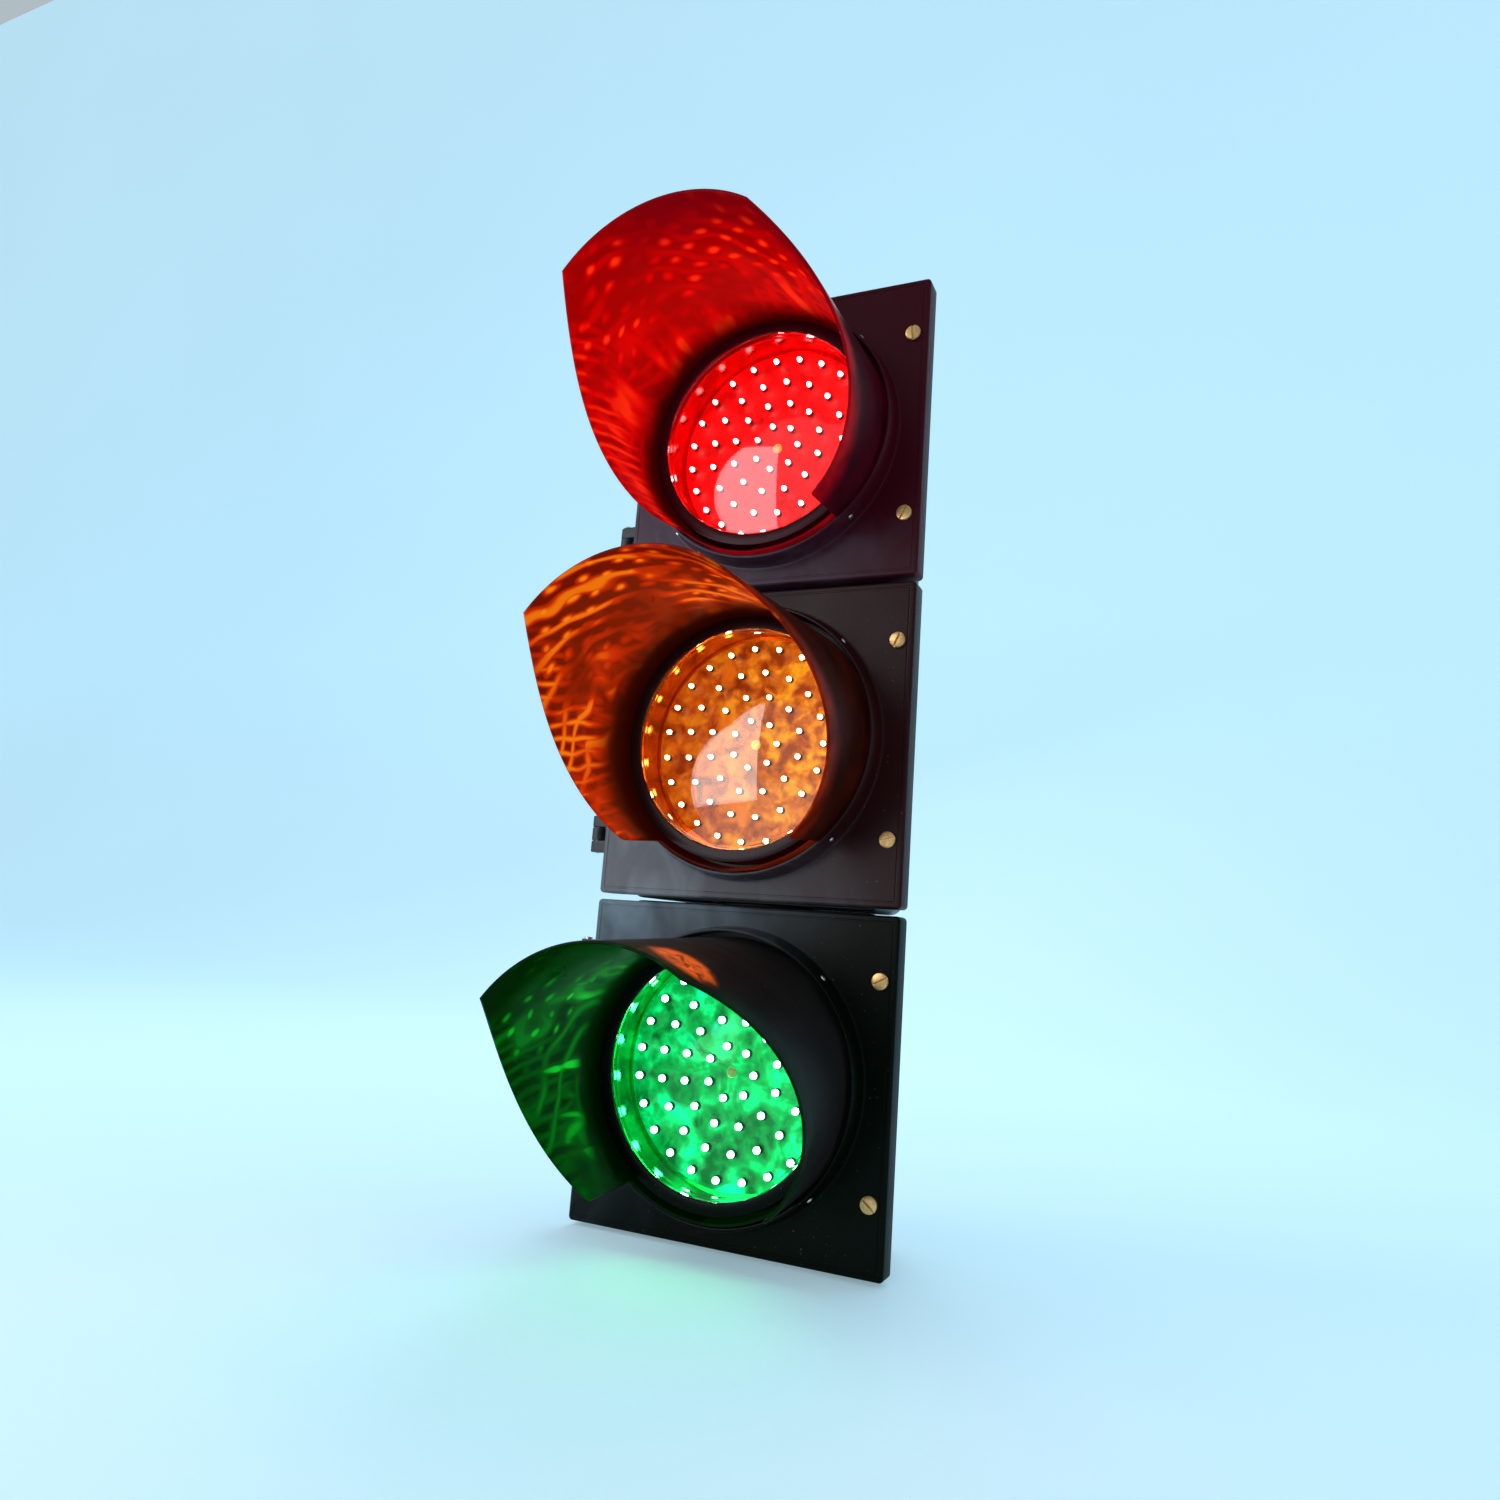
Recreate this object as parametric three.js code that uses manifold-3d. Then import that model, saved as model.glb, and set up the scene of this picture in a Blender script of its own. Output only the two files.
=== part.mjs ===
// Three-section traffic signal head with 200 mm LED roundels.
// Millimetres, +Z up. X runs to the latch side, -Y is the way the lamps face.
// Origin: centre of the bottom bracket face, on the axis of the coupling tubes.
// Each section is drawn about its own lens axis, with y = 0 on the face of its door.

import * as THREE from 'three';
import { mergeVertices } from 'three/addons/utils/BufferGeometryUtils.js';
import Module from 'manifold-3d';

const wasm = await Module();
wasm.setup();

// ---- driving dimensions ----
const PITCH = 300;               // section to section
const GAP = 0.3;                 // clearance between touching pieces
const CASE_CENTRE_X = 2.5;       // doors and housings sit this far off the lens axis
const TUBE_AXIS_Y = 70;          // coupling axis behind the door face
const RING_STEPS = 28;
const BOSS_STEPS = 18;
const SMALL_STEPS = 8;

const DOOR = { width: 302, height: 294, corner: 4, plate: 3.2, rimDepth: 21, rimWall: 3 };
const SEAL_STRIP = { halfW: 139, halfH: 140, wall: 12 };
const FLANGE = { halfW: 142, halfH: 141.5, corner: 7, front: 12, back: 16 };
const HOUSING = {
  frontHalfW: 128, backHalfW: 116, neckHalfH: 141, halfH: 148.5, step: 21.6, back: 132, wall: 3, corner: 12,
};
const BOSS = { outer: 45, hole: 26, inner: 138, face: 148.8, recess: 34.5, recessDepth: 4.6 };

const LENS_BOSS = { bore: 111.5, outer: 115, front: -24.5, lipBack: -21, lipRadius: 103.5 };
const SOCKET = { inner: 123.5, outer: 126.4, front: -22 };
const LENS = { radius: 102.9, flange: 110.9, flangeFront: -18.4, flangeBack: -15.8, apex: -38, wall: 2.8 };
const LENS_GASKET = { inner: 105, outer: 111.1, front: -20.7, back: -18.7 };
const RETAINER = { inner: 106.5, outer: 111.1, front: -15.5, back: -13 };
const CUP = { outer: 107, inner: 105.5, front: -12.4, floor: 19.2, back: 20.7 };
const BOARD = { radius: 103, front: 16, back: 17.6 };
const LED = { base: 3, tip: 2.3, height: 8.5, sides: 4 };
const LED_RINGS = [[7, 23, 0], [12, 46.5, 15], [17, 69.5, 0], [23, 93, 0]]; // count, radius, first angle

const VISOR = {
  base: 0.6, wall: 2.8, radius: 119.9, flare: 0.03, drop: 0.074, collar: 25, front: 228,
  turn: -9.5, tipAngle: 42.75, sweepAngle: 260, sweepEnd: 67.7, sweepPower: 3.7, leftFoot: -143, rightFoot: 139,
};

const HINGE = { x: -161, y: 9, z: 90, knuckle: 6.3, bore: 3.2, lugLow: 6.8, lugHigh: 17.8, earHalf: 6.2 };
const PIN = { radius: 2.9, half: 18.6, head: 4.4, headHeight: 1.6 };
const LATCH = { x: 139, heights: [-88, 91.5], hole: 3.6, lugBack: 24, lugHalf: 9, insert: 4 };
const DOOR_SCREW = { head: 7.2, headTop: -3.8, shank: 3, tip: 23, slot: 1.6, slotDepth: 1.4, relief: 5.5 };
const BOARD_SCREW = { head: 4.6, top: 12.6, shank: 2, end: 27, clearance: 2.4 };

const BRACKET = { halfL: 118, halfH: 11, front: 21.1, back: 23.6, lugInner: 104, lugBack: 34 };
const DRIVER = { halfW: 45, halfH: 30, front: 23.9, back: 50, plugHalfW: 8, plugLow: 16, plugHigh: 24 };
const TERMINAL = { halfW: 45, low: -112, high: -92, front: 112, back: 128.7, ways: 6, rib: 2.4, cut: 6 };

const COUPLING = { outer: 25.5, inner: 20, flange: 34, flangeHeight: 4, nut: 36, nutHeight: 8, stub: 12 };
const SEAL = { inner: 35.5, outer: 44 };
const PLUG = { cap: 33.5, capTop: 148.5, bevel: 1, stem: 25.6, stemWall: 3, stemEnd: 130, nut: 34, nutHeight: 6 };
const LEAD_RADIUS = 3;

// ---- solids ----
function toSolid(geometry) {
  const bare = geometry.clone();
  bare.deleteAttribute('normal');
  bare.deleteAttribute('uv');
  const welded = mergeVertices(bare, 1e-4);
  const index = welded.index.array;
  const kept = [];
  for (let i = 0; i < index.length; i += 3) {
    const [a, b, c] = [index[i], index[i + 1], index[i + 2]];
    if (a !== b && b !== c && c !== a) kept.push(a, b, c);
  }
  const vertProperties = new Float32Array(welded.attributes.position.array);
  const make = (order) => new wasm.Manifold(new wasm.Mesh({
    numProp: 3, vertProperties, triVerts: new Uint32Array(order),
  }));
  const solid = make(kept);
  if (solid.volume() > 0) return solid;
  return make(kept.reverse());
}

function toGeometry(solid) {
  const mesh = solid.getMesh();
  const geometry = new THREE.BufferGeometry();
  geometry.setAttribute('position', new THREE.BufferAttribute(new Float32Array(mesh.vertProperties), 3));
  geometry.setIndex(new THREE.BufferAttribute(new Uint32Array(mesh.triVerts), 1));
  const flat = geometry.toNonIndexed();
  flat.computeVertexNormals();
  return flat;
}

const join = (solids) => solids.reduce((sum, solid) => sum.add(solid));
const cut = (solid, tools) => tools.reduce((rest, tool) => rest.subtract(tool), solid);

function box(x0, x1, y0, y1, z0, z1) {
  const geometry = new THREE.BoxGeometry(x1 - x0, y1 - y0, z1 - z0);
  geometry.translate((x0 + x1) / 2, (y0 + y1) / 2, (z0 + z1) / 2);
  return toSolid(geometry);
}

// Ring or disc about the lens axis, from [radius, y] corners.
function turned(profile, steps = RING_STEPS) {
  const points = [...profile, profile[0]].map(([r, y]) => new THREE.Vector2(r, y));
  return toSolid(new THREE.LatheGeometry(points, steps));
}

function ring(inner, outer, y0, y1, steps = RING_STEPS) {
  return turned([[inner, y0], [outer, y0], [outer, y1], [inner, y1]], steps);
}

function disc(radius, y0, y1, steps = RING_STEPS) {
  return turned([[0, y0], [radius, y0], [radius, y1], [0, y1]], steps);
}

function uprightCylinder(radius, x, y, z0, z1, steps = SMALL_STEPS, topRadius = radius) {
  const geometry = new THREE.CylinderGeometry(topRadius, radius, z1 - z0, steps);
  geometry.rotateX(Math.PI / 2);
  geometry.translate(x, y, (z0 + z1) / 2);
  return toSolid(geometry);
}

// Rod whose axis runs front to back.
function levelCylinder(radius, x, z, y0, y1, steps = SMALL_STEPS) {
  const geometry = new THREE.CylinderGeometry(radius, radius, y1 - y0, steps);
  geometry.translate(x, (y0 + y1) / 2, z);
  return toSolid(geometry);
}

function roundedRectangle(halfW, halfH, corner) {
  const shape = new THREE.Shape();
  shape.moveTo(-halfW + corner, -halfH);
  shape.lineTo(halfW - corner, -halfH);
  shape.absarc(halfW - corner, -halfH + corner, corner, -Math.PI / 2, 0);
  shape.absarc(halfW - corner, halfH - corner, corner, 0, Math.PI / 2);
  shape.absarc(-halfW + corner, halfH - corner, corner, Math.PI / 2, Math.PI);
  shape.absarc(-halfW + corner, -halfH + corner, corner, Math.PI, 1.5 * Math.PI);
  return shape;
}

// Rounded slab across the case, from y0 back to y1.
function slab(halfW, halfH, corner, y0, y1) {
  const shape = roundedRectangle(halfW, halfH, corner);
  const geometry = new THREE.ExtrudeGeometry(shape, { depth: y1 - y0, bevelEnabled: false, curveSegments: 2 });
  geometry.rotateX(Math.PI / 2);
  geometry.translate(CASE_CENTRE_X, y1, 0);
  return toSolid(geometry);
}

function frameSlab(halfW, halfH, corner, wall, y0, y1) {
  const inner = slab(halfW - wall, halfH - wall, Math.max(corner - wall, 1), y0 - 1, y1 + 1);
  return slab(halfW, halfH, corner, y0, y1).subtract(inner);
}

// Tapered case body: the slab's width shrinks from front to back, and its back edges are rounded.
function taperedBody(inset, y0, y1) {
  const rounding = HOUSING.corner - inset;
  const steps = 3;
  const shape = roundedRectangle(1, 1, 0.1);
  const geometry = new THREE.ExtrudeGeometry(shape, {
    depth: steps, steps, bevelEnabled: false, curveSegments: 2,
  });
  const position = geometry.attributes.position;
  for (let i = 0; i < position.count; i += 1) {
    const station = Math.round(position.getZ(i));
    const angle = (Math.PI / 2) * Math.max(station - 1, 0) / (steps - 1);
    const y = station === 0 ? y0 : y1 - rounding * (1 - Math.sin(angle));
    const slope = (y - FLANGE.back) / (HOUSING.back - FLANGE.back);
    const pull = inset + (station === 0 ? 0 : rounding * (1 - Math.cos(angle)));
    const halfW = THREE.MathUtils.lerp(HOUSING.frontHalfW, HOUSING.backHalfW, slope) - pull;
    const halfH = HOUSING.halfH - pull;
    position.setXYZ(i, CASE_CENTRE_X + position.getX(i) * halfW, y, position.getY(i) * halfH);
  }
  return toSolid(geometry);
}

// Blocks above and below a half height, in front of a step, that turn a tall body into its neck.
function neckCutters(halfH, step) {
  const reach = HOUSING.frontHalfW + 10;
  return [-1, 1].map((side) => box(-reach, reach, 0, step,
    side > 0 ? halfH : -PITCH, side > 0 ? PITCH : -halfH));
}

// ---- pieces of one section ----
function housing() {
  const ears = [];
  const earBores = [];
  for (const z of [-HINGE.z, HINGE.z]) {
    const low = z - HINGE.earHalf;
    const high = z + HINGE.earHalf;
    const wallX = CASE_CENTRE_X - HOUSING.frontHalfW + 2;
    ears.push(uprightCylinder(HINGE.knuckle, HINGE.x, HINGE.y, low, high));
    ears.push(box(HINGE.x - HINGE.knuckle, HINGE.x + 4, HINGE.y, 28, low, high));
    ears.push(box(HINGE.x - HINGE.knuckle, wallX, 22, 28, low, high));
    earBores.push(uprightCylinder(HINGE.bore, HINGE.x, HINGE.y, low - 1, high + 1));
  }
  const lugs = [];
  const inserts = [];
  for (const z of LATCH.heights) {
    const wallX = CASE_CENTRE_X + HOUSING.frontHalfW - 4;
    lugs.push(box(wallX, LATCH.x + 8, FLANGE.front, LATCH.lugBack, z - LATCH.lugHalf, z + LATCH.lugHalf));
    inserts.push(levelCylinder(LATCH.insert, LATCH.x, z, FLANGE.front - 1, LATCH.lugBack + 1));
  }
  for (const side of [-1, 1]) {
    const inner = CASE_CENTRE_X + side * BRACKET.lugInner;
    const outer = CASE_CENTRE_X + side * (HOUSING.frontHalfW - 2);
    lugs.push(box(Math.min(inner, outer), Math.max(inner, outer), BRACKET.back + GAP, BRACKET.lugBack,
      -BRACKET.halfH, BRACKET.halfH));
  }
  const bosses = [];
  const holes = [];
  for (const side of [-1, 1]) {
    const across = (radius, from, to) => uprightCylinder(radius, 0, TUBE_AXIS_Y,
      Math.min(side * from, side * to), Math.max(side * from, side * to), BOSS_STEPS);
    bosses.push(across(BOSS.outer, BOSS.inner, BOSS.face));
    holes.push(across(BOSS.hole, BOSS.inner - 2, BOSS.face + 2));
    holes.push(across(BOSS.recess, BOSS.face - BOSS.recessDepth, BOSS.face + 2));
  }
  const shell = cut(taperedBody(0, FLANGE.front, HOUSING.back), neckCutters(HOUSING.neckHalfH, HOUSING.step));
  const flange = slab(FLANGE.halfW, FLANGE.halfH, FLANGE.corner, FLANGE.front, FLANGE.back);
  const cavity = cut(taperedBody(HOUSING.wall, FLANGE.front - 1, HOUSING.back - HOUSING.wall),
    neckCutters(HOUSING.neckHalfH - HOUSING.wall, HOUSING.step + HOUSING.wall));
  const hollow = shell.add(flange).subtract(cavity);
  return cut(join([hollow, ...bosses, ...lugs, ...ears]), [...holes, ...inserts, ...earBores]);
}

function door() {
  const halfW = DOOR.width / 2;
  const halfH = DOOR.height / 2;
  const plate = slab(halfW, halfH, DOOR.corner, 0, DOOR.plate)
    .subtract(disc(LENS_BOSS.bore, -1, DOOR.plate + 1));
  const rim = frameSlab(halfW, halfH, DOOR.corner, DOOR.rimWall, 0, DOOR.rimDepth);
  const lensBoss = turned([
    [LENS_BOSS.lipRadius, LENS_BOSS.lipBack],
    [LENS_BOSS.lipRadius, LENS_BOSS.front],
    [LENS_BOSS.outer, LENS_BOSS.front],
    [LENS_BOSS.outer, DOOR.plate],
    [LENS_BOSS.bore, DOOR.plate],
    [LENS_BOSS.bore, LENS_BOSS.lipBack],
  ]);
  const socket = ring(SOCKET.inner, SOCKET.outer, SOCKET.front, 1);
  const lugs = [];
  const bores = [];
  for (const z of [-HINGE.z, HINGE.z]) {
    for (const [low, high] of [[HINGE.lugLow, HINGE.lugHigh], [-HINGE.lugHigh, -HINGE.lugLow]]) {
      const edge = CASE_CENTRE_X - halfW + 2;
      lugs.push(uprightCylinder(HINGE.knuckle, HINGE.x, HINGE.y, z + low, z + high));
      lugs.push(box(HINGE.x, edge, HINGE.y - HINGE.knuckle, HINGE.y + HINGE.knuckle, z + low, z + high));
      bores.push(uprightCylinder(HINGE.bore, HINGE.x, HINGE.y, z + low - 1, z + high + 1));
    }
  }
  for (const z of LATCH.heights) {
    bores.push(levelCylinder(LATCH.hole, LATCH.x, z, -1, DOOR.plate + 1));
  }
  return cut(join([plate, rim, lensBoss, socket, ...lugs]), bores);
}

function doorGasket() {
  const [front, back] = [DOOR.plate + GAP, FLANGE.front - GAP];
  const strip = frameSlab(SEAL_STRIP.halfW, SEAL_STRIP.halfH, 6, SEAL_STRIP.wall, front, back);
  const reliefs = LATCH.heights.map((z) => box(LATCH.x - DOOR_SCREW.relief, LATCH.x + DOOR_SCREW.relief,
    front - 1, back + 1, z - DOOR_SCREW.relief, z + DOOR_SCREW.relief));
  return cut(strip, reliefs);
}

function lens() {
  const crown = LENS.flangeFront - 5;
  const arcSteps = 3;
  const face = (radius, edgeY, apexY) => Array.from({ length: arcSteps + 1 }, (_, i) => {
    const r = radius * (1 - i / arcSteps);
    return [r, apexY + (edgeY - apexY) * (r / radius) ** 2];
  });
  const outside = face(LENS.radius, crown, LENS.apex);
  const inside = face(LENS.radius - LENS.wall, crown + LENS.wall, LENS.apex + LENS.wall).reverse();
  return turned([
    ...outside, ...inside,
    [LENS.radius - LENS.wall, LENS.flangeBack],
    [LENS.flange, LENS.flangeBack],
    [LENS.flange, LENS.flangeFront],
    [LENS.radius, LENS.flangeFront],
  ]);
}

// Radius, axis height and front edge of the visor, s mm in front of the door.
const visorRadius = (s) => VISOR.radius + VISOR.flare * s;
const visorCentre = (s) => -VISOR.drop * s;

// Angles run from the top of the hood, positive towards +X.
function visorFront(angle) {
  if (angle < VISOR.leftFoot || angle > VISOR.rightFoot) return VISOR.collar;
  const fromTop = Math.abs(angle - VISOR.turn);
  if (fromTop <= VISOR.tipAngle) return VISOR.front;
  const left = 1 - (fromTop - VISOR.tipAngle) / (VISOR.sweepAngle - VISOR.tipAngle);
  return VISOR.sweepEnd + (VISOR.front - VISOR.sweepEnd) * left ** VISOR.sweepPower;
}

// Once round the hood: up the left wing, over the top, down the right wing, then the bare collar below.
function visorAngles() {
  const spread = (from, to, count) => Array.from({ length: count }, (_, i) => from + (to - from) * i / count);
  const step = 1.5;
  const [leftTip, rightTip] = [VISOR.turn - VISOR.tipAngle, VISOR.turn + VISOR.tipAngle];
  const collarEnd = 360 + VISOR.leftFoot - step;
  return [
    ...spread(VISOR.leftFoot, leftTip, 8),
    ...spread(leftTip, rightTip, 8),
    ...spread(rightTip, VISOR.rightFoot, 8),
    VISOR.rightFoot,
    ...spread(VISOR.rightFoot + step, collarEnd, 5),
    collarEnd,
  ];
}

// One closed shell: a ring of angles, each with its four corners from the base to the front edge.
function visor() {
  const angles = visorAngles();
  const corners = [[-1, 0], [0, 0], [0, 1], [-1, 1], [-1, 0]]; // [walls in from the outside, share of the length]
  const geometry = new THREE.LatheGeometry(corners.map(([r, y]) => new THREE.Vector2(r + 2, y)), angles.length);
  const position = geometry.attributes.position;
  for (let i = 0; i < position.count; i += 1) {
    const [walls, share] = corners[i % corners.length];
    const degrees = angles[Math.floor(i / corners.length) % angles.length];
    const s = THREE.MathUtils.lerp(VISOR.base, visorFront(degrees), share);
    const radius = visorRadius(s) + walls * VISOR.wall;
    const angle = THREE.MathUtils.degToRad(degrees);
    position.setXYZ(i, radius * Math.sin(angle), -s, visorCentre(s) + radius * Math.cos(angle));
  }
  return toSolid(geometry);
}

function lightCup() {
  const can = turned([
    [0, CUP.floor], [CUP.inner, CUP.floor], [CUP.inner, CUP.front],
    [CUP.outer, CUP.front], [CUP.outer, CUP.back], [0, CUP.back],
  ]);
  const slot = box(-DRIVER.plugHalfW - 1, DRIVER.plugHalfW + 1, CUP.floor - 1, CUP.back + 1,
    DRIVER.plugLow - 1, DRIVER.plugHigh + 1);
  return cut(can, [slot, levelCylinder(BOARD_SCREW.clearance, 0, 0, CUP.floor - 1, CUP.back + 1)]);
}

function ledBoard() {
  const board = disc(BOARD.radius, BOARD.front, BOARD.back);
  const hole = levelCylinder(BOARD_SCREW.clearance, 0, 0, BOARD.front - 1, BOARD.back + 1);
  const leds = [];
  for (const [count, radius, firstAngle] of LED_RINGS) {
    for (let i = 0; i < count; i += 1) {
      const angle = THREE.MathUtils.degToRad(firstAngle + 360 * i / count);
      const geometry = new THREE.CylinderGeometry(LED.base, LED.tip, LED.height + 0.5, LED.sides);
      geometry.translate(radius * Math.cos(angle), BOARD.front + 0.5 - (LED.height + 0.5) / 2,
        radius * Math.sin(angle));
      leds.push(toSolid(geometry));
    }
  }
  return join([board.subtract(hole), ...leds]);
}

function boardScrew() {
  const head = disc(BOARD_SCREW.head, BOARD_SCREW.top, BOARD.front - GAP, SMALL_STEPS);
  const shank = disc(BOARD_SCREW.shank, BOARD.front - 1, BRACKET.back + GAP, SMALL_STEPS);
  const slot = box(-BOARD_SCREW.head - 1, BOARD_SCREW.head + 1, BOARD_SCREW.top - 1, BOARD_SCREW.top + 1,
    -0.6, 0.6);
  return head.add(shank).subtract(slot);
}

function lampBracket() {
  const strap = box(CASE_CENTRE_X - BRACKET.halfL, CASE_CENTRE_X + BRACKET.halfL,
    BRACKET.front, BRACKET.back, -BRACKET.halfH, BRACKET.halfH);
  return strap.subtract(levelCylinder(BOARD_SCREW.clearance, 0, 0, BRACKET.front - 1, BRACKET.back + 1));
}

function driver() {
  const screwPocket = levelCylinder(BOARD_SCREW.clearance + 1, 0, 0, DRIVER.front - 1, DRIVER.front + 6);
  const body = box(-DRIVER.halfW, DRIVER.halfW, DRIVER.front, DRIVER.back, -DRIVER.halfH, DRIVER.halfH);
  const plug = box(-DRIVER.plugHalfW, DRIVER.plugHalfW, BOARD.back + GAP, DRIVER.front + 1,
    DRIVER.plugLow, DRIVER.plugHigh);
  return body.add(plug).subtract(screwPocket);
}

function hingePin(z) {
  const rod = uprightCylinder(PIN.radius, HINGE.x, HINGE.y, z - PIN.half, z + PIN.half);
  const head = uprightCylinder(PIN.head, HINGE.x, HINGE.y, z + PIN.half, z + PIN.half + PIN.headHeight);
  return rod.add(head);
}

function doorScrew(z, slotDegrees) {
  const headBack = -GAP;
  const head = levelCylinder(DOOR_SCREW.head, LATCH.x, z, DOOR_SCREW.headTop, headBack, 14);
  const shank = levelCylinder(DOOR_SCREW.shank, LATCH.x, z, headBack - 1, DOOR_SCREW.tip);
  const blade = new THREE.BoxGeometry(3 * DOOR_SCREW.head, 2 * DOOR_SCREW.slotDepth, DOOR_SCREW.slot);
  blade.rotateY(THREE.MathUtils.degToRad(slotDegrees));
  blade.translate(LATCH.x, DOOR_SCREW.headTop, z);
  return head.add(shank).subtract(toSolid(blade));
}

// ---- pieces that join the sections ----
function couplingTube() {
  const ceiling = BOSS.inner - GAP;
  const top = PITCH - ceiling + COUPLING.stub;
  const flange = uprightCylinder(COUPLING.flange, 0, TUBE_AXIS_Y, ceiling - COUPLING.flangeHeight, ceiling, BOSS_STEPS);
  const tube = uprightCylinder(COUPLING.outer, 0, TUBE_AXIS_Y, ceiling - 1, top, BOSS_STEPS);
  const bore = uprightCylinder(COUPLING.inner, 0, TUBE_AXIS_Y, 0, PITCH, BOSS_STEPS);
  return flange.add(tube).subtract(bore);
}

function couplingNut() {
  const floor = PITCH - BOSS.inner + GAP;
  const nut = uprightCylinder(COUPLING.nut, 0, TUBE_AXIS_Y, floor, floor + COUPLING.nutHeight, 6);
  return nut.subtract(uprightCylinder(COUPLING.outer + GAP, 0, TUBE_AXIS_Y, 0, PITCH, BOSS_STEPS));
}

function couplingSeal() {
  const low = BOSS.face + GAP;
  const seal = uprightCylinder(SEAL.outer, 0, TUBE_AXIS_Y, low, PITCH - low, BOSS_STEPS);
  return seal.subtract(uprightCylinder(SEAL.inner, 0, TUBE_AXIS_Y, 0, PITCH, BOSS_STEPS));
}

function topPlug() {
  const capFloor = BOSS.face - BOSS.recessDepth + GAP;
  const cap = uprightCylinder(PLUG.cap, 0, TUBE_AXIS_Y, capFloor, PLUG.capTop, BOSS_STEPS, PLUG.cap - PLUG.bevel);
  const stem = uprightCylinder(PLUG.stem, 0, TUBE_AXIS_Y, PLUG.stemEnd, capFloor + 1, BOSS_STEPS);
  const hollow = uprightCylinder(PLUG.stem - PLUG.stemWall, 0, TUBE_AXIS_Y, PLUG.stemEnd - 1,
    capFloor - PLUG.stemWall, BOSS_STEPS);
  return cap.add(stem).subtract(hollow);
}

function topPlugNut() {
  const ceiling = BOSS.inner - GAP;
  const nut = uprightCylinder(PLUG.nut, 0, TUBE_AXIS_Y, ceiling - PLUG.nutHeight, ceiling, 6);
  return nut.subtract(uprightCylinder(PLUG.stem + GAP, 0, TUBE_AXIS_Y, 0, PITCH, BOSS_STEPS));
}

function terminalBlock() {
  const { halfW, low, high, front, back, ways, rib, cut: depth } = TERMINAL;
  const pitch = (2 * halfW - rib) / ways;
  const pockets = Array.from({ length: ways }, (_, i) => {
    const x = -halfW + rib + i * pitch;
    return box(x, x + pitch - rib, front - 1, front + depth, low + rib, high - rib);
  });
  return cut(box(-halfW, halfW, front, back, low, high), pockets);
}

// A lead's route, as [x, y, z] points in the bottom section's own frame.
function lead(route, steps) {
  const curve = new THREE.CatmullRomCurve3(route.map(([x, y, z]) => new THREE.Vector3(x, y, z)), false, 'centripetal');
  const section = new THREE.Shape();
  section.absarc(0, 0, LEAD_RADIUS, 0, 2 * Math.PI);
  const geometry = new THREE.ExtrudeGeometry(section, { steps, extrudePath: curve, curveSegments: 3 });
  return toSolid(geometry);
}

function leadRoute(startX, laneX, laneY, section) {
  const up = section * PITCH;
  const terminalTop = TERMINAL.high + GAP;
  const driverFoot = up - DRIVER.halfH - 1;
  const start = [[startX, 120, terminalTop], [startX, 119, terminalTop + 14], [startX * 0.9, 100, -60]];
  const end = [[-8, 52, driverFoot - 34], [-10, 40, driverFoot - 15], [-10, 37, driverFoot]];
  if (section === 0) return [start[0], start[1], [-28, 98, -70], [-20, 52, -66], [-12, 38, -48], end[2]];
  const lane = [[laneX + startX * 0.15, laneY + 8, -20], [laneX, laneY, 40]];
  for (let joint = 1; joint <= section; joint += 1) {
    lane.push([laneX, laneY, joint * PITCH - PITCH / 2]);
    if (joint < section) lane.push([laneX + 2, laneY + 12, joint * PITCH]);
  }
  lane.push([laneX, laneY - 2, up - PITCH / 2 + 46]);
  return [...start, ...lane, ...end];
}

// ---- finishes ----
const finish = (color, roughness, metalness = 0) => ({ color, roughness, metalness });
const FINISH = {
  case: finish(0x14161a, 0.42),
  door: finish(0x1a1d22, 0.38),
  visor: finish(0x121214, 0.45),
  rubber: finish(0x0c0c0c, 0.85),
  brass: finish(0xb98a3e, 0.35, 0.9),
  steel: finish(0x9a9da0, 0.35, 0.9),
  aluminium: finish(0xc9ccd0, 0.3, 0.9),
  driver: finish(0x2b2f36, 0.6),
  terminal: finish(0xe8e4d8, 0.55),
  lead: finish(0x303236, 0.7),
};
const LAMPS = [
  { name: 'green', section: 0, color: 0x0fae4c },
  { name: 'amber', section: 1, color: 0xe07a12 },
  { name: 'red', section: 2, color: 0xe01410 },
];

function piece(group, name, solid, look) {
  const mesh = new THREE.Mesh(toGeometry(solid), new THREE.MeshStandardMaterial(look));
  mesh.name = name;
  group.add(mesh);
}

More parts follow.
